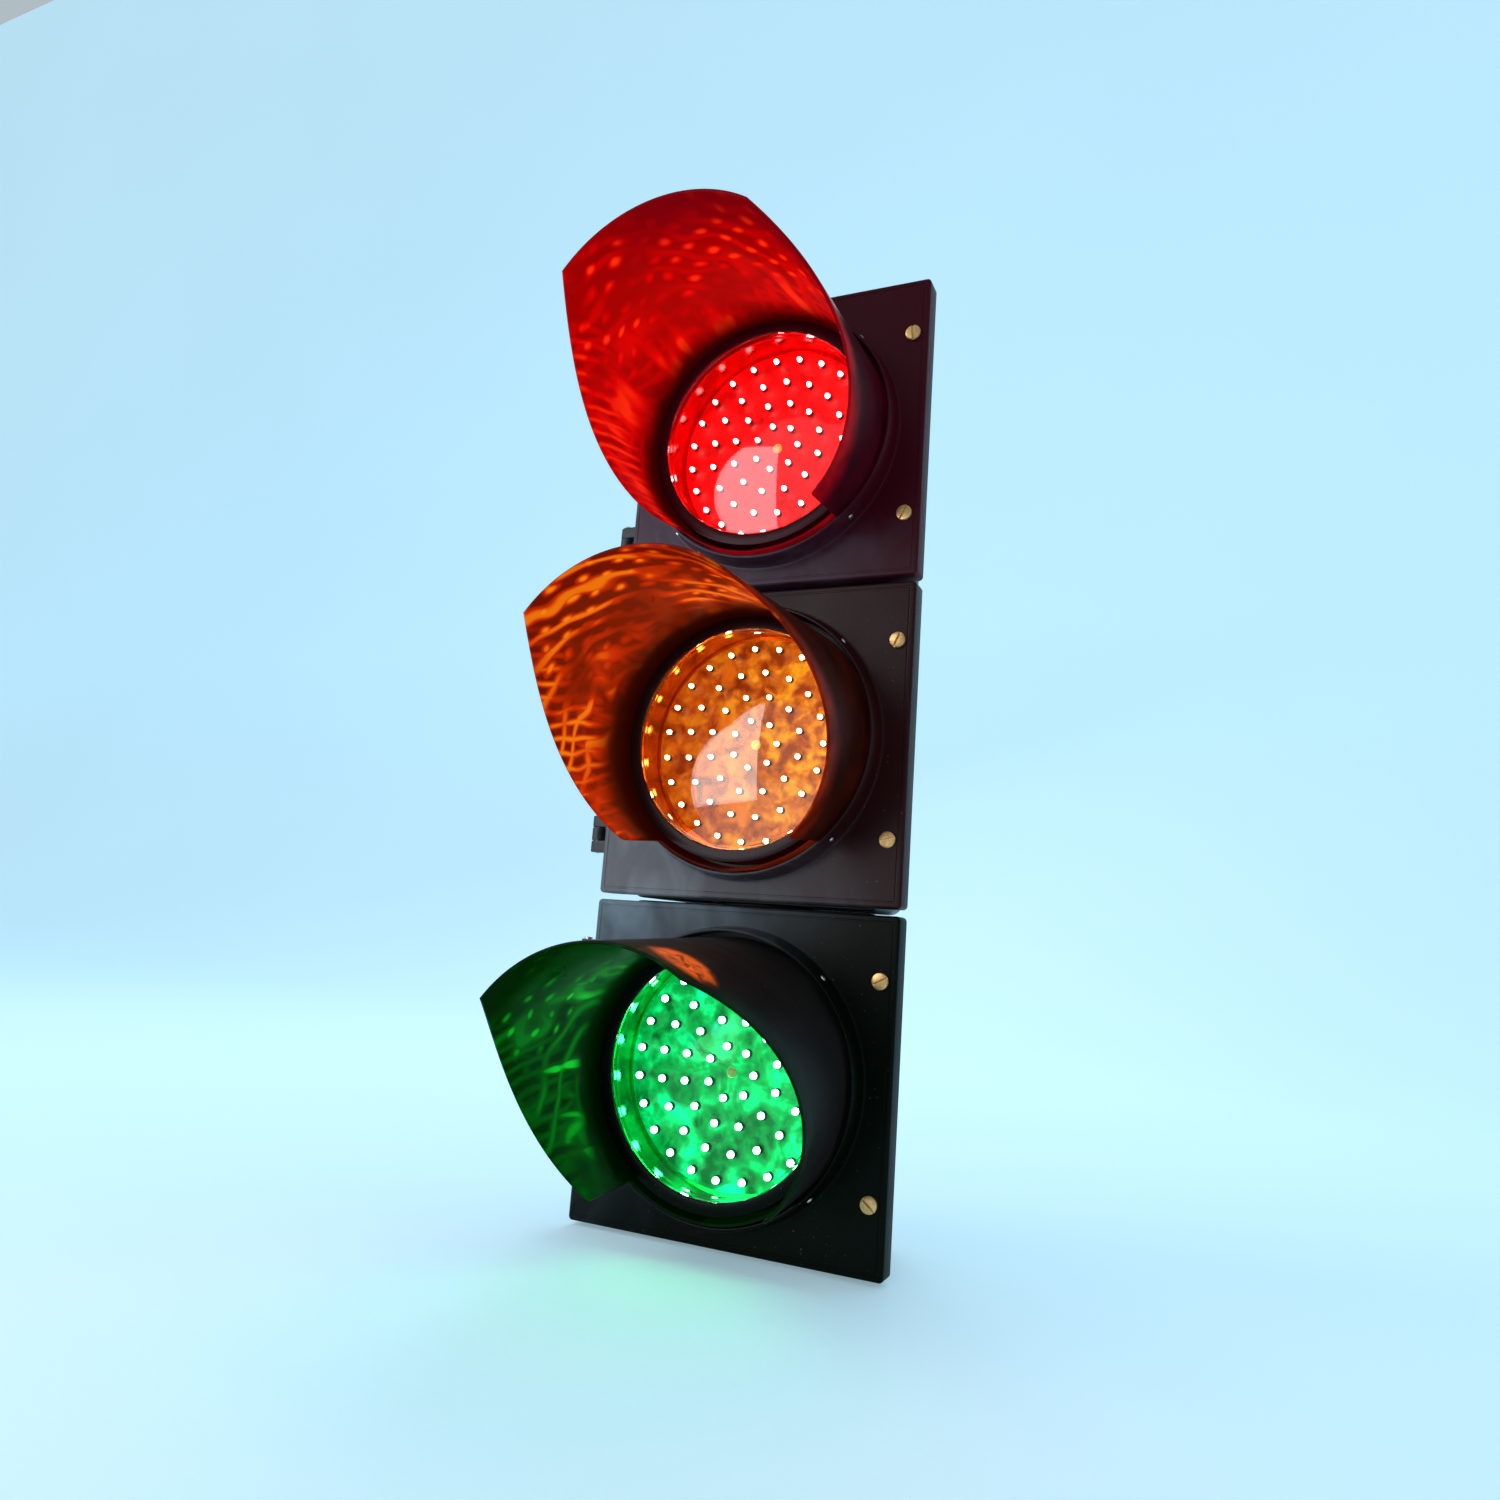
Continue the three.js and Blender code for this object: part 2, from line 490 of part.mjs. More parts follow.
// ---- assembly ----
function buildSection({ name, color }) {
  const group = new THREE.Group();
  piece(group, `housing_${name}`, housing(), FINISH.case);
  piece(group, `door_${name}`, door(), FINISH.door);
  piece(group, `door_gasket_${name}`, doorGasket(), FINISH.rubber);
  piece(group, `visor_${name}`, visor(), FINISH.visor);
  piece(group, `lens_${name}`, lens(), finish(color, 0.08));
  piece(group, `lens_gasket_${name}`,
    ring(LENS_GASKET.inner, LENS_GASKET.outer, LENS_GASKET.front, LENS_GASKET.back), FINISH.rubber);
  piece(group, `lens_retaining_ring_${name}`,
    ring(RETAINER.inner, RETAINER.outer, RETAINER.front, RETAINER.back), FINISH.case);
  piece(group, `light_cup_${name}`, lightCup(), FINISH.aluminium);
  piece(group, `led_board_${name}`, ledBoard(), finish(color, 0.5));
  piece(group, `board_screw_${name}`, boardScrew(), FINISH.brass);
  piece(group, `lamp_bracket_${name}`, lampBracket(), FINISH.steel);
  piece(group, `led_driver_${name}`, driver(), FINISH.driver);
  piece(group, `hinge_pin_${name}_upper`, hingePin(HINGE.z), FINISH.steel);
  piece(group, `hinge_pin_${name}_lower`, hingePin(-HINGE.z), FINISH.steel);
  piece(group, `door_screw_${name}_upper`, doorScrew(LATCH.heights[1], 28), FINISH.brass);
  piece(group, `door_screw_${name}_lower`, doorScrew(LATCH.heights[0], -62), FINISH.brass);
  return group;
}

function buildCommon() {
  const group = new THREE.Group();
  const joints = [['lower', 0], ['upper', 1]];
  for (const [place, section] of joints) {
    const junction = new THREE.Group();
    junction.position.z = section * PITCH;
    piece(junction, `coupling_tube_${place}`, couplingTube(), FINISH.steel);
    piece(junction, `coupling_nut_${place}`, couplingNut(), FINISH.steel);
    piece(junction, `coupling_seal_${place}`, couplingSeal(), FINISH.rubber);
    group.add(junction);
  }
  const crown = new THREE.Group();
  crown.position.z = 2 * PITCH;
  piece(crown, 'top_plug', topPlug(), FINISH.case);
  piece(crown, 'top_plug_nut', topPlugNut(), FINISH.case);
  group.add(crown);
  piece(group, 'terminal_block', terminalBlock(), FINISH.terminal);
  piece(group, 'lead_green', lead(leadRoute(-30, 0, 0, 0), 14), FINISH.lead);
  piece(group, 'lead_amber', lead(leadRoute(0, -7, 68, 1), 22), FINISH.lead);
  piece(group, 'lead_red', lead(leadRoute(30, 8, 72, 2), 34), FINISH.lead);
  return group;
}

const head = new THREE.Group();
const stack = new THREE.Group();
stack.position.set(0, -TUBE_AXIS_Y, BOSS.face);
for (const lamp of LAMPS) {
  const section = buildSection(lamp);
  section.position.z = lamp.section * PITCH;
  stack.add(section);
}
stack.add(buildCommon());
head.add(stack);

export default head;
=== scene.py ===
import math

import bpy
import bmesh
from mathutils import Matrix, Vector


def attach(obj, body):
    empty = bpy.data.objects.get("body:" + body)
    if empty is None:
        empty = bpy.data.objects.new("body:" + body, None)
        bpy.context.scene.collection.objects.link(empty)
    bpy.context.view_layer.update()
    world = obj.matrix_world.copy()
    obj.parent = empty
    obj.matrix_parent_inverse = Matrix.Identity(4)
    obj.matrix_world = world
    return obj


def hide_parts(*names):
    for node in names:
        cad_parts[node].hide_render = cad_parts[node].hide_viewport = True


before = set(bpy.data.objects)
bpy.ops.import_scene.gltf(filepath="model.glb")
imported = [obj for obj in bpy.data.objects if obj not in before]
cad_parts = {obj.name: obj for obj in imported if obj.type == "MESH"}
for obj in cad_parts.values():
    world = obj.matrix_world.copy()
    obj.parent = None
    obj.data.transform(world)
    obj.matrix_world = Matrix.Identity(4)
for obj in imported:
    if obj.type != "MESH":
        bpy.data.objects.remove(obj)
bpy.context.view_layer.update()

# Sizes repeat the CAD's, in mm, each section about its own lens axis; y = 0 is the door's face.
PITCH, TUBE_Y, FIRST_Z = 300.0, 70.0, 148.8
CASE_X = 2.5
DOOR = dict(half_w=151, half_h=147, corner=4, depth=21, plate=3.2)
VISOR = dict(base=0.6, wall=2.8, radius=119.9, flare=0.03, drop=0.074, collar=25.0, front=228.0, turn=-9.5,
             tip=42.75, sweep=260.0, sweep_end=67.7, sweep_power=3.7, left=-143.0, right=139.0, foot=1.8)
CASE = dict(front=128, back=116, lip=16, depth=132, corner=12, half_h=148.75, inner_h=145.5, neck_h=141,
            step=21.6, wall=3)
BOSS = dict(outer=45, hole=26, inner=138, face=148.8, recess=34.5, recess_depth=4.6)
HINGE_X, HINGE_Y, HINGE_Z, KNUCKLE = -161.0, 9.0, 90.0, 6.3
LATCH_X, LATCH_LOW, LATCH_HIGH, LATCH_HOLE = 139.0, -88.0, 91.5, 3.4
LED_RINGS = ((7, 23, 0), (12, 46.5, 15), (17, 69.5, 0), (23, 93, 0))
SECTIONS = ("green", "amber", "red")
FINE = 96               # sides of a large round
rad = math.radians
SHARP = rad(32)


# ---------------------------------------------------------------- meshes
def place(points, section=0.0):
    """Points in a section's own mm, moved to the row frame in metres."""
    return [(x / 1000, (y - TUBE_Y) / 1000, (z + FIRST_Z + PITCH * section) / 1000) for x, y, z in points]


def add(name, verts, faces, body, slot, mat, nodes=(), section=0.0):
    """One piece: a mesh in place, with its body and the CAD nodes that it replaces; slot is not used."""
    data = bpy.data.meshes.new(name)
    data.from_pydata(place(verts, section), [], faces)
    bm = bmesh.new()
    bm.from_mesh(data)
    bmesh.ops.remove_doubles(bm, verts=bm.verts, dist=1e-6)
    bmesh.ops.recalc_face_normals(bm, faces=bm.faces)
    bm.to_mesh(data)
    bm.free()
    data.polygons.foreach_set("use_smooth", [True] * len(data.polygons))
    data.set_sharp_from_angle(angle=SHARP)
    obj = bpy.data.objects.new(name, data)
    bpy.context.scene.collection.objects.link(obj)
    data.materials.append(mat)
    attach(obj, body)
    if nodes:
        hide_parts(*nodes)
    return obj


def loft(rings, closed=False, caps=False):
    """Quads between rings of equal count, a ring of one point being a tip."""
    verts, faces, starts = [], [], []
    for ring in rings:
        starts.append(len(verts))
        verts += ring
    pairs = list(zip(range(len(rings) - 1), range(1, len(rings))))
    if closed:
        pairs.append((len(rings) - 1, 0))
    for a, b in pairs:
        na, nb = len(rings[a]), len(rings[b])
        n = max(na, nb)
        for i in range(n):
            j = (i + 1) % n
            quad = [starts[a] + i % na, starts[a] + j % na, starts[b] + j % nb, starts[b] + i % nb]
            face = list(dict.fromkeys(quad))
            if len(face) > 2:
                faces.append(face)
    if caps:
        faces.append([starts[0] + i for i in range(len(rings[0]))][::-1])
        faces.append([starts[-1] + i for i in range(len(rings[-1]))])
    return verts, faces


def join(*parts):
    """Several (verts, faces) as one."""
    verts, faces = [], []
    for v, f in parts:
        base = len(verts)
        verts += v
        faces += [[i + base for i in face] for face in f]
    return verts, faces


def turned(profile, n=72, x=0.0, z=0.0, closed=True):
    """Turned about a line along Y: profile is (radius, y)."""
    rings = []
    for r, y in profile:
        count = 1 if r == 0 else n
        rings.append([(x + r * math.sin(2 * math.pi * i / n), y, z + r * math.cos(2 * math.pi * i / n))
                      for i in range(count)])
    return loft(rings, closed=closed)


def upright(profile, n=48, x=0.0, y=TUBE_Y, closed=True):
    """Turned about a vertical line: profile is (radius, z)."""
    rings = []
    for r, z in profile:
        count = 1 if r == 0 else n
        rings.append([(x + r * math.cos(2 * math.pi * i / n), y + r * math.sin(2 * math.pi * i / n), z)
                      for i in range(count)])
    return loft(rings, closed=closed)


def rounded(half_w, half_h, corner, y, per_corner=6, per_side=36, cx=CASE_X):
    """A rounded rectangle across the case, as a ring of points."""
    ring = []
    for k, (sx, sz) in enumerate(((1, 1), (-1, 1), (-1, -1), (1, -1))):
        ox, oz = cx + sx * (half_w - corner), sz * (half_h - corner)
        for i in range(per_corner + 1):
            a = math.pi / 2 * (k + i / per_corner)
            ring.append((ox + corner * math.cos(a), y, oz + corner * math.sin(a)))
        nx, nz = ((-1, 1), (-1, -1), (1, -1), (1, 1))[k]
        last = ring[-1]
        b = math.pi / 2 * (k + 1)
        goal = (cx + nx * (half_w - corner) + corner * math.cos(b), y,
                nz * (half_h - corner) + corner * math.sin(b))
        for i in range(1, per_side):
            t = i / per_side
            ring.append(tuple(last[c] + (goal[c] - last[c]) * t for c in range(3)))
    return ring


def eased(ring, z0, z1, ease):
    """A solid from z0 to z1 with eased ends: ring(z, inset) gives its outline."""
    steps = [(z0, ease), (z0 + ease * 0.3, ease * 0.3), (z0 + ease, 0),
             (z1 - ease, 0), (z1 - ease * 0.3, ease * 0.3), (z1, ease)]
    return loft([ring(z, inset) for z, inset in steps], caps=True)


def prism(outline, z0, z1, round_by=0.8):
    """An outline in X and Y, drawn up in Z, with eased ends."""
    cx = sum(p[0] for p in outline) / len(outline)
    cy = sum(p[1] for p in outline) / len(outline)

    def ring(z, inset):
        out = []
        for x, y in outline:
            d = math.hypot(x - cx, y - cy) or 1
            out.append((x - (x - cx) / d * inset, y - (y - cy) / d * inset, z))
        return out
    return eased(ring, z0, z1, round_by)


def block(x0, x1, y0, y1, z0, z1, ease=0.8):
    """A box with eased edges and rounded corners."""
    def ring(z, inset):
        r = ease * 1.2
        pts = []
        for k, (sx, sy) in enumerate(((1, 1), (-1, 1), (-1, -1), (1, -1))):
            ox = (x1 if sx > 0 else x0) - sx * (r + inset)
            oy = (y1 if sy > 0 else y0) - sy * (r + inset)
            for i in range(4):
                a = math.pi / 2 * (k + i / 3)
                pts.append((ox + r * math.cos(a), oy + r * math.sin(a), z))
        return pts
    return eased(ring, z0, z1, ease)


def cut(obj, verts, faces, section):
    """Cuts obj's own mesh by a closed shape given in its section's mm."""
    data = bpy.data.meshes.new("cutter")
    data.from_pydata(place(verts, section), [], faces)
    bm = bmesh.new()
    bm.from_mesh(data)
    bmesh.ops.recalc_face_normals(bm, faces=bm.faces)
    bm.to_mesh(data)
    bm.free()
    cutter = bpy.data.objects.new("cutter", data)
    bpy.context.scene.collection.objects.link(cutter)
    mod = obj.modifiers.new("cut", "BOOLEAN")
    mod.operation, mod.solver, mod.object = "DIFFERENCE", "EXACT", cutter
    bpy.context.view_layer.update()
    evaluated = obj.evaluated_get(bpy.context.evaluated_depsgraph_get())
    result = bpy.data.meshes.new_from_object(evaluated)
    obj.modifiers.clear()
    old, obj.data = obj.data, result
    bpy.data.meshes.remove(old)
    bpy.data.objects.remove(cutter)
    result.set_sharp_from_angle(angle=SHARP)


# ---------------------------------------------------------------- materials
class Nodes:
    """Short hand for building a node tree."""

    def __init__(self, name):
        self.mat = bpy.data.materials.new(name)
        self.mat.use_nodes = True
        self.tree = self.mat.node_tree
        self.tree.nodes.clear()
        self.out = self.tree.nodes.new("ShaderNodeOutputMaterial")
        self.coord = self.tree.nodes.new("ShaderNodeTexCoord").outputs["Object"]

    def new(self, kind, links=(), **values):
        node = self.tree.nodes.new("ShaderNode" + kind)
        for key, value in values.items():
            if hasattr(node, key):
                setattr(node, key, value)
        for key, value in links:
            if isinstance(value, bpy.types.NodeSocket):
                self.tree.links.new(value, node.inputs[key])
            else:
                node.inputs[key].default_value = value
        return node

    def noise(self, scale, detail=4, rough=0.55, stretch=None, distort=0.0):
        vector = self.coord
        if stretch:
            vector = self.new("Mapping", [("Vector", vector), ("Scale", stretch)]).outputs[0]
        return self.new("TexNoise", [("Vector", vector), ("Scale", scale), ("Detail", detail),
                                     ("Roughness", rough), ("Distortion", distort)]).outputs["Fac"]

    def ramp(self, fac, stops):
        node = self.new("ValToRGB", [("Fac", fac)])
        ramp = node.color_ramp
        while len(ramp.elements) > 1:
            ramp.elements.remove(ramp.elements[-1])
        for i, (at, colour) in enumerate(stops):
            e = ramp.elements[0] if i == 0 else ramp.elements.new(at)
            e.position = at
            c = (colour,) * 3 if isinstance(colour, (int, float)) else colour
            e.color = (*c, 1)
        return node.outputs["Color"]

    def mix(self, fac, a, b, kind="MIX"):
        first, second = (c if isinstance(c, bpy.types.NodeSocket) else (*c, 1) for c in (a, b))
        links = [("Fac", fac), ("Color1", first), ("Color2", second)]
        return self.new("MixRGB", links, blend_type=kind).outputs[0]

    def maths(self, operation, a, b=0.0, clamp=False):
        return self.new("Math", [(0, a), (1, b)], operation=operation, use_clamp=clamp).outputs[0]

    def times(self, a, b):
        return self.maths("MULTIPLY", a, b)

    def plus(self, a, b):
        return self.maths("ADD", a, b)

    def squared(self, a):
        return self.maths("POWER", a, 2.0)

    def span(self, value, low, high, start=0.0, end=1.0):
        """A smooth step from start to end as value goes from low to high."""
        links = [("Value", value), ("From Min", low), ("From Max", high), ("To Min", start), ("To Max", end)]
        return self.new("MapRange", links, interpolation_type="SMOOTHSTEP").outputs[0]

    def wave(self, along, rate, across, noise, swing):
        """Soft stripes, 0 to 1, across a phase in radians that noise sways."""
        phase = self.plus(self.plus(self.times(along, rate), across), self.times(noise, swing))
        return self.times(self.plus(self.maths("COSINE", phase), 1.0), 0.5)

    def stored(self, name):
        return self.new("Attribute", attribute_name=name).outputs["Fac"]

    def bump(self, height, strength, distance=0.0004, normal=None):
        links = [("Height", height), ("Strength", strength), ("Distance", distance)]
        if normal:
            links.append(("Normal", normal))
        return self.new("Bump", links).outputs[0]

    def shade(self, links):
        shader = self.new("BsdfPrincipled", links)
        self.tree.links.new(shader.outputs[0], self.out.inputs[0])
        return shader


DUSTY = 0.5             # how much of a plastic's colour the dust covers where it is thickest


def plastic(name, base, dust, rough=(0.3, 0.5), spec=0.5):
    """Moulded plastic: smears in the gloss, thin dust, fine grain and scratches."""
    n = Nodes(name)
    clouds = n.noise(9, 6, 0.6, distort=0.6)
    smears = n.noise(5, 5, 0.62, stretch=(3, 9, 26), distort=1.2)
    specks = n.noise(340, 2, 0.5)
    dusty = n.ramp(clouds, [(0.42, 0.0), (0.74, DUSTY)])
    dotted = n.ramp(specks, [(0.70, 0.0), (0.78, DUSTY)])
    film = n.mix(1.0, dusty, dotted, "SCREEN")
    streak = n.ramp(smears, [(0.50, 0.0), (0.62, DUSTY * 0.55), (0.66, 0.0)])
    film = n.mix(1.0, film, streak, "SCREEN")
    colour = n.mix(film, base, dust)
    gloss = n.ramp(n.mix(0.5, clouds, smears), [(0.34, rough[0]), (0.66, rough[1])])
    gloss = n.mix(film, gloss, (0.7, 0.7, 0.7))
    scratch = n.ramp(n.noise(26, 3, 0.5, stretch=(14, 14, 1.2)), [(0.47, 0.0), (0.5, 1.0), (0.53, 0.0)])
    normal = n.bump(n.noise(1400, 2, 0.5), 0.16, 0.00012)
    normal = n.bump(n.noise(14, 3, 0.5), 0.12, 0.0012, normal)
    normal = n.bump(scratch, 0.05, 0.0001, normal)
    n.shade([("Base Color", colour), ("Roughness", gloss), ("Normal", normal), ("Specular IOR Level", spec)])
    return n.mat


def metal(name, base, stain, rough=(0.25, 0.5), brushed=(1, 1, 1), pits=0.2, metallic=1.0, glow=0.0):
    """Metal with tarnish and uneven polish, brushed along the axes that are stretched least; glow paints
    light on it.
    """
    n = Nodes(name)
    clouds = n.noise(90, 5, 0.6, distort=0.4)
    fine = n.noise(700, 3, 0.6)
    tarnish = n.ramp(n.mix(0.4, clouds, fine), [(0.42, 0.0), (0.66, 0.85)])
    colour = n.mix(tarnish, base, stain)
    gloss = n.ramp(clouds, [(0.3, rough[0]), (0.7, rough[1])])
    height = n.noise(420, 3, 0.5, stretch=brushed)
    normal = n.bump(height, pits, 0.0001)
    n.shade([("Base Color", colour), ("Roughness", gloss), ("Metallic", metallic), ("Normal", normal),
             ("Emission Color", colour), ("Emission Strength", glow)])
    return n.mat


def rubber(name):
    """Matt black rubber with a grey bloom."""
    n = Nodes(name)
    clouds = n.noise(40, 4)
    colour = n.ramp(clouds, [(0.35, (0.006, 0.006, 0.006)), (0.7, (0.028, 0.027, 0.026))])
    n.shade([("Base Color", colour), ("Roughness", n.ramp(clouds, [(0.3, 0.7), (0.7, 0.9)])),
             ("Normal", n.bump(n.noise(900, 3), 0.3, 0.0002))])
    return n.mat


def door_material(name, look, section):
    """A door: near-black gloss, with a painted sheen (a painted reflection, with smears in it) towards one
    corner, clear of the collar, and dust specks.
    """
    n = Nodes(name)
    at = n.new("SeparateXYZ", [("Vector", n.coord)]).outputs
    height = n.maths("SUBTRACT", at["Z"], (FIRST_Z + PITCH * section) / 1000)
    squares = n.plus(n.squared(n.maths("ABSOLUTE", at["X"])), n.squared(n.maths("ABSOLUTE", height)))
    radius = n.maths("SQRT", squares)
    corner = n.plus(n.times(at["X"], -2.6), n.times(height, look["reach"]))
    clouds = n.noise(7 + section, 4, 0.6, distort=0.8)
    smears = n.noise(9 + 2 * section, 3, 0.5, stretch=(1.4, 2, 0.8), distort=0.9)
    # Painted sheen: where, lines and film put a reflection into the colour, strongest towards one corner;
    # only the specks are dust.
    where = n.span(n.plus(corner, n.times(clouds, 0.6)), 0.2, 1.1)
    lines = n.ramp(smears, [(0.44, 0.0), (0.60, 0.45), (0.72, 0.1)])
    film = n.maths("MULTIPLY", where, n.plus(0.45, lines), clamp=True)
    film = n.times(film, n.span(radius, 0.1200, 0.1245, 0.04, 1.0))
    specks = n.ramp(n.noise(420, 2, 0.5), [(0.72, 0.0), (0.78, 0.2)])
    # The base is black plastic tinted with the door's lamp colour: painted glow.
    colour = n.mix(n.maths("MAXIMUM", film, specks), look["base"], look["sheen"])
    gloss = n.ramp(n.mix(0.5, clouds, smears), [(0.34, 0.24), (0.66, 0.42)])
    normal = n.bump(n.noise(1300, 2, 0.5), 0.10, 0.00012)
    normal = n.bump(n.noise(9, 3, 0.5), 0.10, 0.0014, normal)
    n.shade([("Base Color", colour), ("Roughness", gloss), ("Normal", normal),
             ("Specular IOR Level", look["gloss"])])
    return n.mat


HALF_TURN = 377.0       # mm of arc in half a turn at the hood's radius
# Painted light: the upper lamp's light on the hood below it, its colour and its size in turn and reach.
SPILL_COLOUR, SPILL_SIZE = (0.95, 0.13, 0.012), (0.085, 0.11)


def hood_pattern(n, look, patches, reach, edge, turn):
    """How strongly the lamp's painted light falls on each place: veins, streaks by the lens, spots above and
    stripes below.
    """
    arc, out = n.times(turn, HALF_TURN), n.times(reach, VISOR["front"])
    sway, drift = n.noise(9, 2, 0.5), n.noise(13, 2, 0.5)
    veins = n.ramp(n.wave(arc, 0.12, n.times(out, look["slant"]), sway, 30.0), [(0.45, 0.0), (0.95, 1.0)])
    streaks = n.noise(44, 1, 0.4, stretch=(1.3, 0.3, 1.3), distort=0.5)
    streaks = n.times(n.ramp(streaks, [(0.46, 0.0), (0.66, 1.0)]), n.span(reach, 0.75, 0.35))
    rows = n.wave(arc, 0.19, n.times(out, 0.21), sway, 12.0)
    files = n.wave(arc, 0.19, n.times(out, -0.21), drift, 12.0)
    above = n.times(n.span(turn, -0.56, -0.36), n.span(reach, 0.22, 0.5))
    spots = n.times(n.ramp(n.times(rows, files), [(0.22, 0.0), (0.95, 1.0)]), above)
    below = n.times(n.span(turn, -0.28, -0.42), n.span(edge, 1.1, 0.45))
    stripes = n.ramp(n.wave(arc, 0.50, n.times(out, 0.10), drift, 12.0), [(0.3, 0.0), (1.0, 1.0)])
    pattern = 0.0
    for kind, weight in zip((veins, streaks, spots, n.times(stripes, below)), look["weights"]):
        pattern = n.maths("MAXIMUM", pattern, n.times(kind, weight))
    return n.times(pattern, n.span(patches, 0.34, 0.58, 0.12, 1.0))


def hood_glow(n, look, reach, edge, turn):
    """The inside: painted light in the pattern's colours, a dark band of painted shade next to the lens, and
    a painted shade over the roof.
    """
    patches = n.noise(12, 2, 0.5, distort=0.6)
    pattern = hood_pattern(n, look, patches, reach, edge, turn)
    glow = n.ramp(pattern, [(0.0, look["low"]), (0.5, look["mid"]), (1.0, look["high"])])
    # Painted shade: the dark band by the lens, then the shaded roof.
    glow = n.mix(n.span(n.plus(reach, n.times(patches, 0.12)), *look["band"]), look["dark"], glow)
    start, end, depth, strength = look["roof"]
    roof = n.times(n.span(turn, start, end), n.span(edge, depth, 0.05))
    return n.mix(n.times(roof, strength), glow, look["shade"])


def hood_rim(n, look, reach, edge, turn):
    """The outside: painted light along the cut edge as if through the plastic, a painted glow over the rest,
    and the upper lamp's light painted on it.
    """
    # Painted light: halo is the glow along the cut edge, tint the glow spread over the outside.
    rim = n.mix(n.span(edge, 0.0, 0.35), look["halo"], look["tint"])
    rim = n.mix(n.span(n.noise(30, 3), 0.3, 0.7, 0.35, 1.0), (0.0, 0.0, 0.0), rim)
    if not look["spill"]:
        return rim
    away = 0.0
    for value, middle, size in zip((turn, reach), look["spill"], SPILL_SIZE):
        away = n.plus(away, n.squared(n.maths("DIVIDE", n.maths("SUBTRACT", value, middle), size)))
    broken = n.span(n.noise(70, 3, 0.6, distort=1.0), 0.30, 0.62, 0.15, 1.0)
    return n.mix(n.times(n.span(away, 1.0, 0.0), broken), rim, SPILL_COLOUR)


def hood_material(name, look):
    """A visor: black plastic outside, and inside its own lamp's light, painted on as a glow in veins, streaks
    and spots.
    """
    n = Nodes(name)
    inside, reach, edge, turn = (n.stored(k) for k in ("inside", "reach", "edge", "turn"))
    light = n.mix(inside, hood_rim(n, look, reach, edge, turn), hood_glow(n, look, reach, edge, turn))
    # Painted light: the lining carries its lamp's colour, and so do the skin and dust of the red and amber
    # hoods.
    body = n.mix(inside, look["skin"], look["lining"])
    clouds = n.noise(9, 5, 0.6, distort=0.6)
    dust = n.times(n.ramp(clouds, [(0.5, 0.0), (0.8, 0.30)]), n.span(inside, 1.0, 0.0))
    gloss = n.ramp(clouds, [(0.3, 0.26), (0.7, 0.42)])
    normal = n.bump(n.noise(1400, 2, 0.5), 0.12, 0.00012)
    normal = n.bump(n.noise(24, 3, 0.5), 0.16, 0.0014, normal)
    n.shade([("Base Color", n.mix(dust, body, look["dust"])), ("Roughness", gloss), ("Normal", normal),
             ("Specular IOR Level", 0.02), ("Emission Color", light), ("Emission Strength", 1.0)])
    return n.mat


def lens_material(name, look):
    """Tinted clear plastic with a polished skin and a breath of lit haze, painted as a faint glow."""
    n = Nodes(name)
    mottle = n.noise(20, 4, 0.6, distort=0.8)
    tint = n.ramp(mottle, [(0.3, look["clear"]), (0.7, tuple(min(1, c * 1.12) for c in look["clear"]))])
    # Painted light: the haze glows as if lit by the lamp.
    light = n.ramp(mottle, [(0.3, tuple(c * 0.6 for c in look["haze"])), (0.7, look["haze"])])
    n.shade([("Base Color", tint), ("Roughness", n.ramp(mottle, [(0.3, 0.0), (0.7, 0.03)])), ("IOR", 1.05),
             ("Transmission Weight", 1.0), ("Normal", n.bump(n.noise(30, 2, 0.5), 0.02, 0.0006)),
             ("Emission Color", light), ("Emission Strength", look["haze_power"]),
             ("Coat Weight", 0.8), ("Coat IOR", look["coat"]), ("Coat Roughness", 0.03)])
    return n.mat


def board_material(name, look):
    """A circuit board under its own lamps, its lit colour painted on as a glow: mottled, with painted glints,
    brighter to one side by painted shade on the other, with tracks.
    """
    n = Nodes(name)
    grain = look["grain"]
    pattern = n.mix(0.30, n.noise(grain, 3, 0.5, distort=0.7), n.noise(grain * 2.8, 2))
    lit = n.ramp(pattern, [(0.38, look["dark"]), (0.50, look["board"]), (0.64, look["bright"])])
    glint = n.ramp(n.noise(grain * 0.8 + 5, 2, 0.5, distort=0.5), [(0.60, 0.0), (0.72, 1.0)])
    lit = n.mix(glint, lit, look["glint"])
    # Painted shade: the board is darker to its left, by the lamp's left colour.
    across = n.new("SeparateXYZ", [("Vector", n.coord)]).outputs["X"]
    side = n.span(n.plus(across, n.times(pattern, 0.05)), -0.05, 0.10)
    lit = n.mix(side, n.mix(1.0, lit, look["left"], "MULTIPLY"), lit)
    tracks = n.new("TexVoronoi", [("Vector", n.coord), ("Scale", 130.0)], feature="DISTANCE_TO_EDGE")
    # The board glows in its lit colours: painted light of its diodes.
    n.shade([("Base Color", n.mix(0.7, lit, (0.0, 0.0, 0.0))), ("Emission Color", lit),
             ("Roughness", n.ramp(pattern, [(0.3, 0.35), (0.7, 0.6)])),
             ("Emission Strength", look["board_power"]),
             ("Normal", n.bump(tracks.outputs["Distance"], 0.3, 0.0003))])
    return n.mat


def led_material(name, look):
    """A lit diode: near white, with a little colour at its foot."""
    n = Nodes(name)
    soft = n.noise(500, 2)
    colour = n.ramp(soft, [(0.3, look["edge"]), (0.6, look["core"])])
    n.shade([("Base Color", colour), ("Roughness", n.ramp(soft, [(0.3, 0.1), (0.7, 0.25)])),
             ("Emission Color", colour), ("Emission Strength", 26.0)])
    return n.mat


